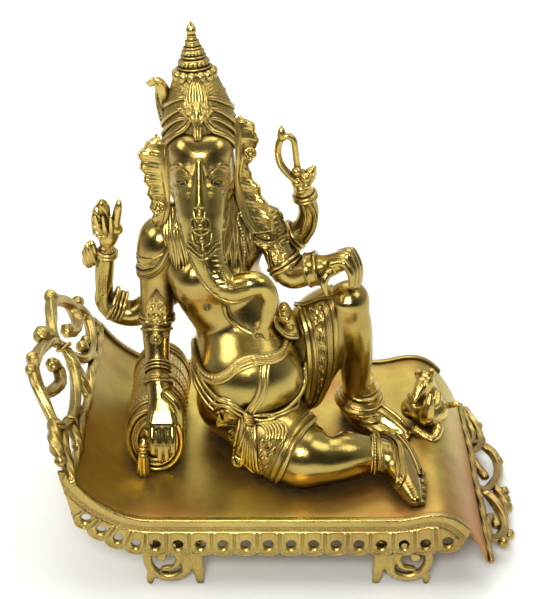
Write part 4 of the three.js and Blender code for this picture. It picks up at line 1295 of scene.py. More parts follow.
def scrolls(x, y):
    """Rows of spiral tendrils, each one unit wide."""
    row = np.floor(y)
    fx = (x + 0.5 * (row % 2)) % 1 - 0.5
    fy = y % 1 - 0.5
    r = np.hypot(fx, fy)
    a = np.arctan2(fy, fx) * (1 - 2 * (row % 2))
    return np.cos(a + r * 15) * np.clip(1.3 - 2.0 * r, 0.15, 1)


def engraved(clay, one, two, across, along, depth, count=110, rows=50, lift=0.7):
    """A field of scrollwork between two lines on the clay."""
    grid = between(one, two, count, rows)
    u, v = shares(count, rows)
    edge = np.clip(np.minimum(v, 1 - v) / 0.08, 0, 1) * np.clip(np.minimum(u, 1 - u) / 0.04, 0, 1)
    return patch(clay, grid, lift * edge + depth * edge * scrolls(v * across, u * along))


def strands(clay, roots, tips, number, r, waves, middle, lift=0.8):
    """Locks of hair side by side from one line to another."""
    a, b, c = smooth(roots, number), smooth(tips, number), smooth(middle, number)
    parts = []
    for k in range(number):
        path = smooth([a[k], (a[k] + c[k]) / 2, c[k], (b[k] + c[k]) / 2, b[k]], 44)
        u = np.linspace(0, 1, 44)
        path[:, 0] += waves * np.sin(u * 9 + k * 1.9)
        value, slope = value_and_slope(clay, path)
        path += np.clip(lift + 0.5 * (k % 2) - value, 0, 12)[:, None] * slope
        swell = np.clip(1.15 - 0.75 * np.abs(u - 0.45) ** 1.5 * 2, 0.3, 1.2)
        width = r * swell * np.clip((1.04 - u) / 0.3, 0, 1)
        parts.append(sweep(path, width, 10, relief=lambda w, t: 1 + 0.10 * np.cos(5 * t)))
    return joined(*parts)


def half_spaces(clay, cuts):
    """Keeps only what lies behind every plane (point, normal)."""
    _, x, y, z = clay.everywhere()
    for point, normal in cuts:
        n = unit(normal)
        clay.field = np.maximum(clay.field, ahead_of(x, y, z, point, n).astype(np.float32))


def torso():
    """Chest and belly with the navel and the collar line."""
    clay = Clay((-84, -54, 54), (22, 46, 248))
    trunk_of_body(clay)
    clay.ball((-22, -50, 110), (3, 3.4, 3.2), 4, cut=True)
    nipple = hug(clay, [(-47, -21, 167)], 0.3)[0]
    _, way = value_and_slope(clay, nipple[None])
    collar = [
        (-46, -17, 197), (-42, -22, 190), (-39, -24, 181), (-37, -22, 170), (-34, -21, 161),
        (-27, -22, 155), (-17, -25, 151), (-8, -23, 149),
    ]
    return joined(
        clay.mesh(),
        band(clay, collar, 1.3, 70, 0.5),
        bead_line(clay, shifted(collar, 2.2, 0, 1.6), 0.8),
        pellet(nipple + way[0] * 0.3, 1.2),
        hoop(nipple, way[0], 2.2, 0.5, count=40),
    )


def hair(whole):
    """The long locks over both shoulders and the fall of hair behind the left ear."""
    right = joined(
        strands(
            whole, [(-71, 2, 226), (-66, -2, 229), (-61, -5, 230)],
            [(-71, -11, 200), (-65, -14, 190), (-58, -16, 197)], 9, 1.6, 0.4,
            middle=[(-73, -6, 213), (-67, -9, 212), (-60, -12, 212)],
        ),
        strands(
            whole, [(-72, 6, 228), (-66, 3, 230), (-60, 0, 232)],
            [(-76, 14, 196), (-66, 22, 192), (-54, 26, 192)], 9, 2.0, 0.5,
            middle=[(-75, 12, 214), (-66, 16, 214), (-56, 18, 214)],
        ),
    )
    left = joined(
        strands(
            whole, [(-34, -10, 238), (-30, -8, 240), (-25, -4, 240)],
            [(-38, -22, 198), (-27, -22, 197), (-17, -14, 202)], 13, 1.8, 0.7, lift=1.2,
            middle=[(-35, -14, 222), (-28, -12, 221), (-20, -7, 219)],
        ),
        strands(
            whole, [(-33, -6, 238), (-28, -3, 240), (-23, 2, 240)],
            [(-34, -22, 202), (-25, -19, 202), (-17, -12, 205)], 10, 1.8, 0.9, lift=2.4,
            middle=[(-34, -12, 220), (-27, -10, 219), (-20, -6, 217)],
        ),
        strands(
            whole, [(-30, 8, 243), (-25, 10, 244), (-20, 8, 243)],
            [(-40, 30, 196), (-26, 30, 194), (-8, 26, 200)], 9, 2.2, 0.5,
            middle=[(-34, 22, 220), (-25, 22, 220), (-14, 18, 219)],
        ),
        strands(
            whole, [(-62, 10, 238), (-47, 20, 240), (-32, 10, 240)],
            [(-66, 32, 176), (-50, 40, 164), (-32, 36, 176)], 19, 2.3, 0.6,
            middle=[(-66, 24, 208), (-49, 33, 206), (-32, 26, 210)],
        ),
        beads(hug(whole, smooth([(-29, -12, 232), (-24, -16, 216), (-23, -19, 203)], 40), 3.6), 1.0),
    )
    return right, left


def shoulder_pad(clay, rim, side):
    """The cap of cloth on a shoulder with its double hem."""
    return joined(
        ribbon(clay, rim, 3.6, hem),
        ribbon(clay, shifted(rim, 0, 0, -3.4), 3.0, ridge(0.7, 0.8, 0.4)),
        engraved(clay, shifted(rim, 0, 0, 2), shifted(rim, -side * 6, 4, 12), 2, 6, 0.22, lift=0.35),
    )


def ring_set(centre, axis, radius, r, number, pitch):
    """Rings side by side along an axis."""
    z = unit(axis)
    return joined(
        *[hoop(arr(centre) + z * pitch * (k - (number - 1) / 2), z, radius, r) for k in range(number)]
    )


def leaf_plate(clay, foot, tip, width):
    """A pointed, chased plate laid on a limb."""
    line = hug(clay, smooth([foot, (arr(foot) + arr(tip)) / 2, tip], 46))
    _, out = value_and_slope(clay, line)
    across = unit(np.cross(out, unit(np.gradient(line, axis=0))))
    u, v = shares(46, 27, -1)
    half = width / 2 * np.clip(1 - u**2.2, 0.03, 1) * (1 + 0.08 * np.cos(u * 26))
    grid = line[:, None] + (half * v)[..., None] * across[:, None]
    edge = 0.9 * bump(np.abs(v), 0.86, 0.13)
    tendrils = 0.5 * scrolls(v * 1.4 + 0.5, u * 3.2) * (np.abs(v) < 0.8)
    return patch(clay, grid, 1.0 + edge + tendrils + 0.6 * bump(v, 0, 0.1))


def front_right_arm():
    """The arm that leans on the bolster, with its hand hanging over the end."""
    clay = Clay((-102, -60, 66), (-54, 28, 226), 0.7)
    clay.limb(ARMS["front_right"], 2)
    clay.ball((-77, 3, 199), (13, 13.5, 16), 7)
    clay.limb([(-79, -30, 120, 7.0), (-78.6, -35, 114, 6.6), (-77.6, -40, 107, 5.4)], 3)
    for x, length in ((-82.5, 15), (-78.2, 20), (-74.0, 20), (-69.8, 15)):
        clay.limb([
            (x / 3 - 52.4, -34, 116, 5.0), (x / 1.4 - 21.9, -41, 107.5, 4.6), (x, -48.5, 99.5, 3.7),
        ], 2.5, 1)
        clay.limb([
            (x, -49.5, 99, 2.8), (x + 0.3, -55, 99 - length / 2, 2.5), (x + 0.6, -58, 99 - length, 1.8),
        ], 0.6, 1)
    clay.limb([(-73, -41, 117, 3.0), (-67.5, -44, 112, 2.6), (-65, -46, 105, 2.4), (-64, -47, 96, 1.7)], 1.4, 1)
    arm, hand = split(clay, (-79, -32, 118.6), (0.05, -0.72, -0.69), 0.1)
    rim = [
        (-66, -8, 216), (-69, -10, 208), (-73, -11, 200), (-78, -11, 192), (-85, -9, 187), (-91, 2, 184),
        (-92, 12, 186),
    ]
    piece("arm_front_right", joined(arm, shoulder_pad(clay, rim, -1)), POLISHED, "front_right_arm")
    piece("hand_front_right", hand, POLISHED, "front_right_hand")
    armlet = joined(
        leaf_plate(clay, (-80.5, -12, 152), (-79.5, -12, 175), 16),
        ring_set((-80.5, -1.6, 150.6), (-0.3, -5, -20), 11.0, 1.1, 2, 2.7),
        ring_set((-80.7, -6.4, 144.4), (0.3, -8, -15), 9.9, 1.0, 1, 0),
        rosette((-80.7, -17.0, 142.6), (0, -1, 0.3), 3.2),
        rosette((-74.6, -13.6, 143.6), (0.6, -1, 0.3), 2.0),
        rosette((-86.8, -13.6, 143.6), (-0.6, -1, 0.3), 2.0),
    )
    piece("armlet_front_right", armlet, CHASED, "front_right_armlet")
    cuff = profile_curve([
        (6.8, -2.6), (8.0, -2.4), (8.6, -1.2), (8.1, 0.2), (9.6, 2.4), (8.9, 3.1), (6.8, 3.0),
    ], 40)
    bangles = joined(
        ring_set((-79.6, -22.4, 124.2), (0.4, -12, -7), 7.8, 0.85, 3, 2.4),
        lathe(cuff, (-79, -29.6, 120.0), (0.4, -11, -9), 64, lambda a, h: 1 + 0.012 * np.cos(a * 30)),
    )
    piece("bangles_front_right", bangles, CHASED, "front_right_bangles")


def front_left_arm():
    """The arm that rests on the raised knee."""
    clay = Clay((-32, -30, 160), (60, 32, 230), 0.7)
    clay.limb(ARMS["front_left"], 2)
    clay.ball((-15, 7, 208), (10.5, 12, 10), 6)
    clay.limb([(24, -10.5, 191.5, 7.2), (33, -12, 195.5, 6.6), (39, -12, 198.5, 5.6)], 3)
    clay.ball((36, -14, 197.5), (8, 7.2, 4.6), 3, (0, -0.5, 0))
    knuckles = ((38, -20, 200), (40.5, -15, 202), (42.5, -10, 201.5), (44, -5, 200))
    tips = ((43, -22.5, 185.5), (45.5, -17.5, 182), (48, -12.5, 179.5), (49.5, -8, 180))
    for k, t in zip(knuckles, tips):
        root = (arr(k) + (-7, 2, -2)).tolist()
        bend = (arr(k) * 0.45 + arr(t) * 0.55 + (1.8, -1.4, 1.8)).tolist()
        clay.limb([(*root, 2.8), (*k, 2.6), (*bend, 2.4), (*t, 1.6)], 0.7, 1)
        clay.ball(k, 2.9, 1.0)
    clay.limb([
        (32, -17, 193, 3.0), (28, -20.5, 192, 2.9), (26, -23, 187, 2.4), (27.8, -24, 179.5, 1.2),
    ], 1.2, 1)
    arm, hand = split(clay, (23.6, -10.2, 191.2), (10, -2, 4), 0.1)
    rim = [
        (-24, -9, 214), (-19, -9, 210), (-13, -8, 207), (-8, -6, 206), (-3, -2, 206), (0, 8, 208),
        (-1, 16, 211),
    ]
    creases = joined(
        band(clay, [(-12, -8, 203), (-9, -8.5, 196), (-6, -8, 189), (-1, -7, 182)], 0.9, 40, 0.3),
        band(clay, [(-9, -8, 204), (-6.5, -8.5, 197), (-3, -8, 190)], 0.7, 40, 0.3),
    )
    piece("arm_front_left", joined(arm, shoulder_pad(clay, rim, 1), creases), POLISHED, "front_left_arm")
    piece("hand_front_left", hand, POLISHED, "front_left_hand")
    armlet = joined(
        leaf_plate(clay, (0, -12, 196), (-6, -8, 212), 10),
        ring_set((1.8, -2.8, 190.6), (11, -6, -17), 10.8, 1.4, 2, 3.0),
        rosette((5.5, -12.5, 192), (0.4, -1, 0.5), 2.6),
    )
    piece("armlet_front_left", armlet, CHASED, "front_left_armlet")
    outline = [
        (8.4, -4.2), (10.6, -4.1), (11.5, -3.2), (10.9, -2.0), (11.0, 1.6), (11.7, 3.2), (10.8, 4.2),
        (8.4, 4.3),
    ]
    barrel = profile_curve(outline, 44)
    piece(
        "bangle_front_left", lathe(barrel, (19.6, -9.0, 189.8), (1, -0.12, 0.3), 80), POLISHED,
        "front_left_bangle",
    )


def rear_right_arm():
    """The arm that holds up the axe."""
    clay = Clay((-134, -6, 124), (-50, 36, 238), 0.7)
    clay.limb(ARMS["rear_right"], 2)
    clay.limb([(-112.4, 14.5, 188, 5.0), (-112, 13.5, 195, 4.7), (-111, 12, 200, 5.4)], 2)
    clay.ball((-110.4, 11, 204), (6.4, 5, 7.4), 3)
    clay.limb([(-116.6, 11.2, 160, 0.9), (-115.4, 9.6, 175, 1.3), (-112.6, 9.4, 188, 0.8)], 1.6, cut=True)
    clay.ball((-104, 8, 209), (3.7, 3.4, 3.6), 1.2)
    clay.limb([
        (-106, 10, 204, 2.8), (-104.6, 8, 215, 3.0), (-102.6, 7, 225, 2.6), (-101.9, 7, 229.5, 1.3),
    ], 1.4, 1)
    for x, tilt in ((-113.4, -3.4), (-110.6, -1.6), (-107.6, 0.2)):
        clay.limb([(x, 7.4, 202, 1.3), (x + tilt * 0.6, 5.0, 211, 1.7), (x + tilt, 3.6, 220, 1.0)], 0.9, 1)
    arm, hand = split(clay, (-112, 14, 193), (0.5, -1, 20), 0.1)
    piece("arm_rear_right", arm, POLISHED, "rear_right_arm")
    piece("hand_rear_right", hand, CHASED, "rear_right_hand")
    armlet = joined(
        ring_set((-106.6, 18.1, 147.6), (-22, 0, 7), 9.6, 1.2, 3, 2.6),
        hoop((-111, 18.1, 149.6), (-22, 0, 9), 10.6, 1.5),
    )
    piece("armlet_rear_right", armlet, CHASED, "rear_right_armlet")
    piece(
        "bangle_rear_right", ring_set((-112.4, 14.5, 188.6), (2, -1, 20), 6.1, 1.2, 2, 2.3), CHASED,
        "rear_right_bangle",
    )
    blade = Clay((-132, -4, 172), (-98, 20, 236), 0.5)
    blade.ball((-113.4, 7, 217), (5.9, 3.2, 13.8), 1, (0, 0.14, 0.2))
    blade.ball((-110.9, 3.4, 219), (3.0, 2.4, 10.5), 1.6, (0, 0.14, 0.2), cut=True)
    blade.ball((-123.4, 13, 188.5), (5.0, 3.2, 10.2), 1, (0, 0.16, 0))
    blade.limb([(-121, 14, 184, 3.0), (-116, 15, 182, 3.4)], 2)
    blade.limb([(-110, 10, 192, 1.9), (-111, 8, 200, 2.0), (-112.5, 7, 208, 2.0)], 1)

    def fluting(x, y, z):
        fan = np.arctan2(z - 205, -(x + 104))
        leaves = 0.5 * np.cos(fan * 26) * (z > 203)
        grooves = 0.3 * np.cos((x + 0.25 * z) * TAU / 2.3) * (z < 202) * (x < -117)
        return leaves + grooves

    blade.relief(fluting)
    edge = beads([(-119.0, 6, 207), (-119.4, 6, 216), (-117.8, 6, 224), (-113.6, 6, 230.4)], 0.9)
    piece("axe_blade", joined(blade.mesh(), edge), CHASED, "axe")


def rear_left_arm():
    """The arm that holds up the noose."""
    clay = Clay((-26, -6, 178), (40, 36, 286), 0.7)
    clay.limb(ARMS["rear_left"], 2)
    clay.ball((8, 18, 199), (8.6, 8.4, 8), 4)
    clay.limb([(14.6, 14, 229, 6.0), (12.6, 12.5, 237, 5.7), (11.2, 11, 243, 6.6)], 2)
    knobs = (
        (9, 6.5, 250, 3.3), (14, 5.5, 246, 3.2), (17.5, 8, 249, 3.1), (9, 6, 242.6, 3.0),
        (15, 6.5, 240.5, 3.1), (11.6, 6.5, 237.4, 3.0),
    )
    for x, y, z, r in knobs:
        clay.ball((x, y, z), r, 0.8)
    clay.limb([(16, 11, 240, 2.8), (19, 10, 246, 2.6), (19.6, 8, 252, 1.7)], 1, 1)
    arm, hand = split(clay, (13.8, 13.6, 232), (-4, -1.5, 18), 0.1)
    folds = joined(
        band(clay, [(12, 9, 205), (14.5, 9, 215), (13, 8, 227)], 1.0, 40, 0.2),
        band(clay, [(19, 11, 201), (22, 11, 211), (19, 9, 225)], 1.0, 40, 0.2),
        ribbon(clay, [(16, 8, 197), (20.5, 9, 205), (21.5, 10, 216), (17, 8, 229)], 3.0, hem),
    )
    piece("arm_rear_left", joined(arm, folds), POLISHED, "rear_left_arm")
    piece("hand_rear_left", hand, CHASED, "rear_left_hand")
    piece(
        "armlet_rear_left", ring_set((6.6, 18, 198.8), (11, 0, 8), 9.4, 1.5, 3, 2.8), CHASED,
        "rear_left_armlet",
    )
    piece(
        "bangle_rear_left", ring_set((14.6, 14.2, 229.6), (-4, -2, 18), 7.0, 1.2, 2, 2.4), CHASED,
        "rear_left_bangle",
    )
    loop = [
        (12, 9, 242, 2.6), (5, 7, 247, 2.5), (-1, 7, 255, 2.4), (-2.6, 7.5, 264, 2.3),
        (-0.6, 8, 271.5, 2.3), (3.4, 8, 273, 2.2), (7, 8, 270, 2.1), (8.2, 8, 262, 2.1), (9.6, 9, 251, 2.2),
    ]
    path = smooth(loop, 120, True)
    parts = [sweep(path[:, :3], path[:, 3], 20, closed=True)]
    twist = smooth([(11.4, 5.2, 242.5), (4.6, 4.4, 247), (-1.2, 4.5, 255), (-3, 5.2, 262)], 26)
    parts += [pellet(place, (1.5, 1.0, 1.1), 10, 8) for place in twist]
    parts.append(
        lathe([(0.1, -2), (2.5, -1), (2.9, 2), (2.2, 5.5), (0.2, 9)], (-0.4, 8, 271.5), (-0.02, 0, 1), 32)
    )
    piece("noose_loop", joined(*parts), CHASED, "noose")


def legs():
    """The folded right leg and the raised left leg."""
    right = Clay((-50, -76, 52), (76, 26, 118))
    right.limb(THIGH_RIGHT, 0)
    right.limb(CALF_RIGHT, 3)
    right.ball((12, -51, 75), (17, 17.5, 19), 6)
    right.ball((31, -36, 90), (5.5, 13, 10), 5, cut=True)
    right.limb([(26, -44, 89, 1.2), (30, -44, 84, 1.6), (37, -45, 84, 1.2)], 5)
    piece("leg_right", right.mesh(), POLISHED, "right_leg")
    left = Clay((-22, -34, 66), (76, 34, 194))
    left.limb(THIGH_LEFT, 2)
    left.limb(CALF_LEFT, 4)
    left.ball((43.4, -4, 164.6), (11.8, 12.4, 11.8), 5)
    left.limb([(39, -14, 166, 1.2), (46, -13, 165, 1.6), (52, -7, 160, 1.0)], 5)
    piece("leg_left", left.mesh(), POLISHED, "left_leg")


def right_cloth():
    """The dhoti on the right thigh, with its fan of folds."""
    right = Clay((-58, -78, 48), (34, 36, 122))
    grown = [(x, y, z, r + 1.3) for x, y, z, r in THIGH_RIGHT]
    right.limb(grown, 0)
    right.ball((12, -51, 75), (18.3, 18.8, 20.3), 6)
    right.ball((-18, 6, 82), (39.2, 35.2, 31), 5)
    right.limb([(-25, -45, 100, 1.6), (-26, -46, 84, 2.8), (-28, -48, 70, 2.6)], 4)
    solid = right.copy()
    half_spaces(right, [((14, -53, 97), (0.876, -0.324, -0.358)), ((0, -47, 103), (0.05, -0.15, 1))])
    hem_line = [(23, -30, 92), (19, -44, 97), (14, -53, 97), (7, -62, 90), (1, -66, 77), (-5, -62, 60)]
    parts = [
        right.mesh(),
        ribbon(solid, hem_line, 3.4, ridge(1.0, 1.1, 0.5)),
        ribbon(solid, shifted(hem_line, -4.4, -0.5, 0.4), 3.2, hem),
        ribbon(solid, shifted(hem_line, -8.4, -0.5, 0.8), 2.6, ridge(0.6, 0.9, 0.4)),
        engraved(solid, shifted(hem_line[2:], -10.5, 0, 1), [
            (-14, -56, 92), (-15, -60, 84), (-16, -58, 72), (-17, -54, 60),
        ], 2, 6, 0.8),
        engraved(
            solid, [(-40, -42, 104), (-42, -40, 92), (-38, -36, 76)],
            [(-28, -47, 104), (-27, -46, 92), (-31, -44, 78)], 2, 4, 0.75,
        ),
    ]
    arcs = [
        [
            (-46, -34, 98), (-42, -41, 107), (-35, -46, 112), (-27, -47, 107), (-24, -46, 95),
            (-26, -47, 82), (-31, -45, 68),
        ],
        [
            (-44, -35, 97), (-40, -42, 104), (-35, -46, 108), (-30, -47, 104), (-27, -46, 93),
            (-29, -46, 80), (-33, -44, 68),
        ],
        [(-48, -32, 101), (-44, -40, 110), (-36, -45, 116), (-27, -47, 111), (-22, -47, 101)],
    ]
    parts += [band(solid, line, 1.25, 70, 0.5) for line in arcs]
    for k in range(6):
        s = k / 5
        line = [
            (-22 + 3 * s, -47, 102), (-22 + 6 * s, -49 - 3 * s, 92), (-24 + 9 * s, -50 - 7 * s, 80),
            (-29 + 15 * s, -48 - 9 * s, 64),
        ]
        parts.append(band(solid, line, 1.35, 60, 0.6, ends=0.4))
    for k in range(7):
        s = k / 6
        line = [
            (-19 + 14 * s, -48, 100), (-13 + 14 * s, -50, 99.5 - s), (-9 + 12 * s, -54, 96),
            (-10 + 12 * s, -58, 90),
        ]
        parts.append(band(solid, line, 1.15, 40, 0.4, ends=0.3))
    for k in range(4):
        line = [(-31 + 1.6 * k, -46 - k, 74), (-30 + 2.2 * k, -49 - k, 66), (-29 + 3 * k, -50 - k, 60)]
        parts.append(band(solid, line, 1.4, 30, 0.8))
    piece("cloth_right", joined(*parts), CHASED, "right_thigh_cloth")


def left_cloth():
    """The dhoti on the raised left thigh, with its embroidered borders."""
    left = Clay((-26, -34, 66), (60, 34, 182))
    left.limb([(x, y, z, r + 1.3) for x, y, z, r in THIGH_LEFT], 2)
    left.limb([(18, 0, 92, 8), (19, 4, 82, 4)], 6)
    solid = left.copy()
    half_spaces(left, [((34.6, -10, 140), (1, 0, 0.05)), ((33, -11, 112), (0.93, 0, -0.36))])
    edge = [
        (31, -9, 168), (33, -16, 161), (34, -17, 153), (34, -17, 142), (34, -15, 129), (32.5, -11, 112),
        (28.5, -6, 97), (21, 0, 82),
    ]
    second = shifted(edge, -3.6, -0.4, -0.6)
    inner_edge = [
        (12, -2, 158), (14, -6, 156), (16, -13, 150), (17, -17, 142), (18, -17, 131), (18, -16, 118),
        (17, -13, 104), (16, -9, 92),
    ]
    middle = shifted(inner_edge, 3.6, -0.3, 0)
    parts = [
        left.mesh(),
        ribbon(solid, edge, 2.4, ridge(0.8, 0.8, 0.5)),
        ribbon(solid, second, 3.2, beaded(46)),
        ribbon(solid, inner_edge, 3.6, ridge(1.2, 1.0, 0.6)),
        ribbon(solid, middle, 2.0, ridge(0.7, 0.7, 0.5)),
        engraved(solid, shifted(middle, 2.2, 0, 0), shifted(second, -2.4, 0, 0), 1.6, 9, 0.9, 150, 40),
        ribbon(solid, [(9, 8, 154), (14, -2, 159), (19, -5, 163), (26, -7, 167), (32, -10, 169)], 2.6, hem),
        engraved(
            solid, [(8, 28, 100), (8, 28, 122), (14, 26, 142), (22, 18, 158)],
            [(24, 26, 96), (30, 28, 118), (32, 26, 140), (32, 16, 157)], 3, 8, 0.5,
        ),
    ]
    piece("cloth_left", joined(*parts), CHASED, "left_thigh_cloth")


def snake_belt(whole):
    """The scaled snake across the belly, with its hood raised at the left."""
    up = [
        (-56, 2, 132), (-56, -12, 132), (-54, -21, 131), (-49, -32, 129), (-42, -38, 130), (-35, -40, 135),
        (-27, -38, 141), (-18, -36, 143), (-7, -33, 143), (0, -28, 144), (4, -18, 148), (6, -8, 153),
    ]
    low = [
        (-57, 2, 126), (-56, -13, 126), (-54, -24, 125), (-48, -36, 123), (-41, -41, 124), (-34, -43, 128),
        (-26, -42, 134), (-14, -39, 137), (-4, -37, 137), (4, -29, 139), (9, -18, 144), (11, -8, 150),
    ]
    grid = between(up, low, 150, 21)
    u, v = shares(150, 21)
    scale = 0.5 * np.cos(TAU * 46 * u + 3.0 * v) * bump(v, 0.34, 0.2)
    lift = 1.3 + 1.0 * bump(v, 0.04, 0.09) + 1.3 * bump(v, 0.34, 0.2) + scale + 1.3 * bump(v, 0.86, 0.16)
    hood = Clay((-12, -26, 136), (22, 12, 172), 0.5)
    hood.limb([(8, -15, 148, 3.0), (5, -15, 154, 4.4), (2.5, -14.5, 160, 4.8), (1.6, -13.5, 165, 3.2)], 2)
    hood.limb([(-4, -15, 158, 1.4), (-2, -17, 152, 2.0), (3, -18.5, 147, 2.3), (9, -17, 145, 2.4)], 1.5)
    for x, z in ((5.6, 153), (3.4, 158), (1.8, 163)):
        hood.ball((x, -18.5, z), 1.9, 1.0)
    piece("snake", joined(patch(whole, grid, lift), hood.mesh()), CHASED, "snake_belt")


def waist_sash(whole):
    """The rolled waistband, its knot and the strip that rises over the belly."""
    strip = ribbon(whole, [
        (-10, -37, 140), (-11, -42, 134), (-12, -45, 126), (-14, -47, 119), (-18, -48, 112),
        (-22, -47, 105),
    ], 6.4, lambda u, v: 0.8 + 0.8 * bump(np.abs(v), 0.82, 0.16) + 0.9 * bump(v, 0.1, 0.3))
    rolls = [
        [
            (-57, -2, 128), (-56, -14, 127), (-54, -24, 127), (-48, -37, 120), (-40, -43, 115),
            (-33, -46, 114), (-24, -48, 108), (-20, -48, 104),
        ],
        [
            (-57, 0, 124), (-56, -14, 123), (-54, -27, 121), (-48, -38, 114), (-42, -42, 110),
            (-35, -46, 111), (-27, -47, 106), (-22, -47, 102),
        ],
        [(-57, 2, 119), (-56, -13, 118), (-54, -27, 115), (-49, -36, 108), (-44, -40, 104)],
        [
            (-20, -47, 105), (-12, -48, 104.5), (-4, -46, 104.5), (5, -39, 105.5), (13, -28, 109),
            (16.5, -21, 115), (17, -21, 126), (15, -19, 141), (11, -13, 150), (9, -5, 154),
        ],
        [(-20, -47, 102), (-10, -47, 100.5), (0, -44, 101), (8, -36, 102), (13, -29, 105)],
        [
            (-57, -2, 128), (-56, 14, 126), (-46, 31, 124), (-26, 42, 122), (-4, 40, 123), (10, 30, 126),
            (17, 28, 130),
        ],
        [
            (-57, 0, 124), (-55, 16, 121), (-46, 32, 119), (-26, 42, 117), (-4, 40, 118), (10, 31, 121),
            (17, 29, 125),
        ],
        [
            (-57, 2, 119), (-54, 18, 115), (-45, 33, 113), (-26, 42, 111), (-4, 40, 112), (10, 32, 115),
            (17, 30, 119),
        ],
    ]
    knot = hug(whole, [(-21.5, -48, 103)], 1.5)[0]
    loops = [
        hoop(
            knot + (0.2 * k, 0, 3.0 - 2.0 * k), (0.5, 0.2, 1), 3.0, 1.1, count=28, squash=0.7,
        ) for k in range(4)
    ]
    parts = [strip, pellet(knot, (3.2, 2.6, 4.2)), *loops]
    parts += [band(whole, line, 1.7, 90, 0.8, ends=0.5) for line in rolls]
    piece("sash", joined(*parts), CHASED, "waist_sash")


def right_foot():
    """The right foot, lying on its side at the couch's front, and its anklet."""
    right = Clay((48, -92, 52), (98, -18, 92), 0.6)
    right.limb([(55, -44, 72, 11.4), (64, -44, 71, 11.2), (70, -45, 70, 10.5)], 2)
    right.limb([
        (69, -30, 70, 7.6), (73, -42, 69, 9.6), (77, -57, 66, 9.4), (81, -69, 63.5, 7.6),
        (84, -78, 61.5, 5.0),
    ], 4)
    right.limb([(76, -30, 70, 5.5), (81, -44, 67, 6.2), (84, -58, 64, 5.4), (84, -70, 62, 4.2)], 4)
    for k in range(5):
        s = k / 4
        right.limb([
            (82 + 1.0 * s, -54 - 22 * s, 66 - 3 * s, 3.0),
            (89.6 - 2.0 * s, -57 - 23 * s, 64.6 - 3.5 * s, 2.9 - 0.2 * k),
        ], 0.8, 1)
        right.ball((90.4 - 2.0 * s, -57.4 - 23 * s, 64.6 - 3.5 * s), 3.0 - 0.2 * k, 0.5)
    first = [(61, -30, 76), (62, -38, 81), (62.5, -46, 82), (63, -54, 76), (63.5, -57, 68)]
    second = [(66, -27, 74), (71, -34, 79), (75, -44, 79), (77, -56, 76), (78, -66, 70), (77, -70, 64)]
    third = [(78, -27, 74), (84, -38, 74), (88, -50, 70), (90, -60, 66)]
    parts = [
        right.mesh(),
        ribbon(right, second, 3.4, beaded(30)),
        ribbon(right, shifted(second, -3.8, -0.5, 0), 2.0, ridge(0.6, 0.7, 0.5)),
        ribbon(right, third, 2.6, beaded(22)),
        ribbon(right, shifted(third, -3.4, 0, 0.6), 1.8, ridge(0.5, 0.6, 0.5)),
    ]
    piece("foot_right", joined(*parts), POLISHED, "right_foot")
    around = np.linspace(0, TAU, 40)
    anklet = joined(
        ribbon(right, first, 3.4, beaded(30)),
        ribbon(right, shifted(first, -3.4, 0, 0), 1.8, ridge(0.9, 0.7, 0.5)),
        hoop((58.0, -44, 72), (1, 0, -0.05), 11.9, 1.0),
        beads([(60, -44 + 12.6 * math.cos(a), 72 + 12.6 * math.sin(a)) for a in around], 1.0),
    )
    piece("anklet_right", anklet, CHASED, "right_anklet")


def left_foot():
    """The left foot, flat on the seat below the raised knee, and its bell-shaped anklet."""
    left = Clay((36, -24, 52), (96, 34, 98), 0.6)
    left.limb([(54, 18, 88, 8.5), (54, 17, 76, 9), (55, 16, 68, 9.5)], 2)
    left.ball((50, 20, 64), (9.5, 9.5, 8), 4)
    left.limb([(56, 14, 67, 9.5), (66, 8, 66, 8.6), (75, 2, 63.5, 6.8), (83, -4, 60.5, 4.2)], 4)
    left.limb([(54, 8, 63, 7), (62, -2, 61.5, 6), (70, -8, 60, 5)], 5)
    toes = [
        ((78, 3, 62), (87, -4, 60)), ((76, -1, 61.5), (85, -8.5, 59.6)), ((73, -5, 61), (81, -12, 59.4)),
        ((70, -8, 60.6), (77, -14.5, 59.2)), ((67, -10, 60.4), (72, -16.5, 59)),
    ]
    for k, (root, tip) in enumerate(toes):
        left.limb([(*root, 3.4 - 0.2 * k), (*tip, 2.9 - 0.25 * k)], 1.0, 1)
    trim = ribbon(left, [(44, 14, 72), (46, 6, 69), (53, 1, 68), (62, -1, 67), (68, 4, 68)], 4.5, beaded(26))
    crease = band(left, [(61, 13, 76), (69, 8, 74), (76, 4, 70), (84, -2, 64)], 1.2, 50, 0.4)
    piece("foot_left", joined(left.mesh(), trim, crease), POLISHED, "left_foot")
    def bell(corners, count, base, axis, sides, depth, ribs):
        outline = profile_curve(corners, count)
        return lathe(outline, base, axis, sides, lambda a, h: 1 + depth * np.cos(a * ribs))

    shin, foot = (0.02, -0.1, 1), (0.12, -0.16, 1)
    top = [(8.8, 4.5), (10.2, 3.6), (10.8, 1.5), (13.0, -2.6), (12.4, -3.6), (9.5, -3.8)]
    middle = [(9.5, 5.5), (12.4, 4.6), (13.4, 1.5), (17.6, -4.4), (16.8, -5.8), (11, -6)]
    low = [(10, 2.0), (15.6, 1.6), (16.2, 0), (15.2, -3.4), (11, -3.8)]
    bells = joined(
        bell(top, 40, (53.8, 17, 88.5), shin, 72, 0.012, 24),
        bell(middle, 40, (54.6, 15.5, 79.5), foot, 84, 0.012, 30),
        bell(low, 30, (55.2, 14.6, 73.0), foot, 84, 0.022, 36),
        hoop((54.0, 16.8, 91.5), shin, 9.6, 1.1),
        hoop((54.8, 15.2, 78.2), foot, 15.2, 0.9),
    )
    piece("anklet_left", bells, CHASED, "left_anklet")


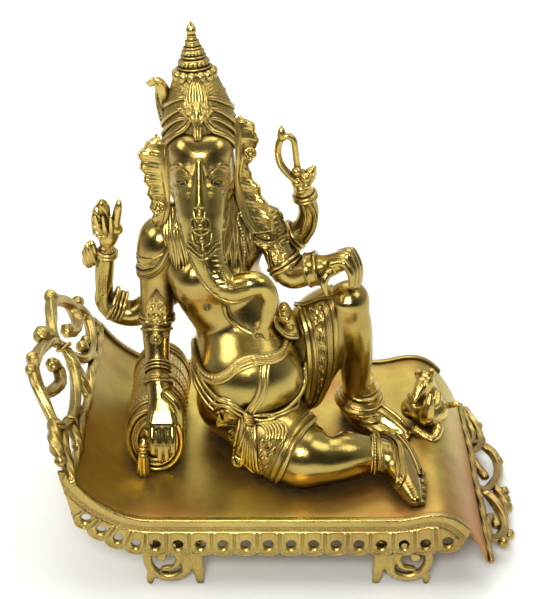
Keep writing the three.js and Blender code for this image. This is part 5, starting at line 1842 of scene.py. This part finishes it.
def mouse():
    """The mouse, sitting up with a sweet in its paws."""
    clay = Clay((72, -14, 52), (122, 32, 110), 0.6)
    clay.ball((100, 9, 68), (12.5, 10.5, 10.5), 3)
    clay.ball((98.5, 11.5, 79), (10, 9.4, 12.5), 4)
    clay.ball((88, 8, 73), (6.6, 7.2, 8), 4)
    clay.ball((106.8, 8, 71), (6.4, 6.6, 7.6), 4)
    clay.limb([(97, 12, 91.5, 6.8), (93.5, 6.5, 89, 4.8), (90, 0.5, 84.5, 2.2)], 2.5)
    clay.ball((89.6, -0.2, 84.2), 1.7, 0.8)
    for x, y in ((101.5, 13.5), (92.8, 12.5)):
        clay.ball((x, y, 97.6), (3.0, 1.8, 3.3), 1.0)
        clay.ball((x - 0.3, y - 1.8, 97.6), (2.0, 1.0, 2.2), 0.6, cut=True)
    clay.ball((97.5, 5.5, 94), 1.3, 0.4)
    clay.limb([(88, 6, 84, 3.0), (90, -1, 79, 2.4), (95, -4, 81, 2.0)], 1.2)
    clay.limb([(106, 8, 84, 3.0), (104.5, 0, 80, 2.5), (99, -4, 82, 2.0)], 1.2)
    clay.limb([(92, -4, 62, 4.2), (97, -8, 60.5, 3.6), (101, -11, 59.6, 2.2)], 1.5)
    clay.limb([(106, -2, 63, 4.2), (104, -8, 61, 3.6), (101, -11.5, 59.6, 2.2)], 1.5)
    clay.limb([(108, 14, 70, 2.6), (113, 12, 72, 2.3), (118, 9, 75, 2.3), (120, 8, 76, 1.8)], 1.2)

    def fur(x, y, z):
        return 0.14 * np.sin(x * 2.6 + 1.6 * np.sin(z * 0.9)) * np.sin(z * 1.5 + y)

    clay.relief(fur)
    rod = smooth([(97, -2, 69, 3.6), (97.5, -4.5, 76, 4.8), (98.6, -4.5, 84, 3.6), (99.4, -3, 90, 1.6)], 40)
    sweet = sweep(rod[:, :3], rod[:, 3], 30, relief=lambda u, a: 1 + 0.13 * np.abs(np.cos(4 * a)))
    piece("mouse_body", joined(clay.mesh(), sweet), CHASED, "mouse")


def figure():
    whole = body_clay()
    piece("body", torso(), POLISHED, "torso")
    right, left = hair(whole)
    piece("hair_right", right, CHASED, "right_hair")
    piece("hair_left", left, CHASED, "left_hair")
    front_right_arm()
    front_left_arm()
    rear_right_arm()
    rear_left_arm()
    legs()
    right_cloth()
    left_cloth()
    snake_belt(whole)
    waist_sash(whole)
    right_foot()
    left_foot()
    mouse()


figure()


# ---------- what stays as CAD, and the end ----------
def keep_cad():
    slot_of = {part["node"]: part["material_slot"] for part in frame["record"]["subparts"]}
    for name, thing in frame["nodes"].items():
        finish = {"steel": STEEL, "cast": CAST, "seat": SHEET}.get(slot_of[name], POLISHED)
        thing.data.materials.clear()
        thing.data.materials.append(finish)


keep_cad()
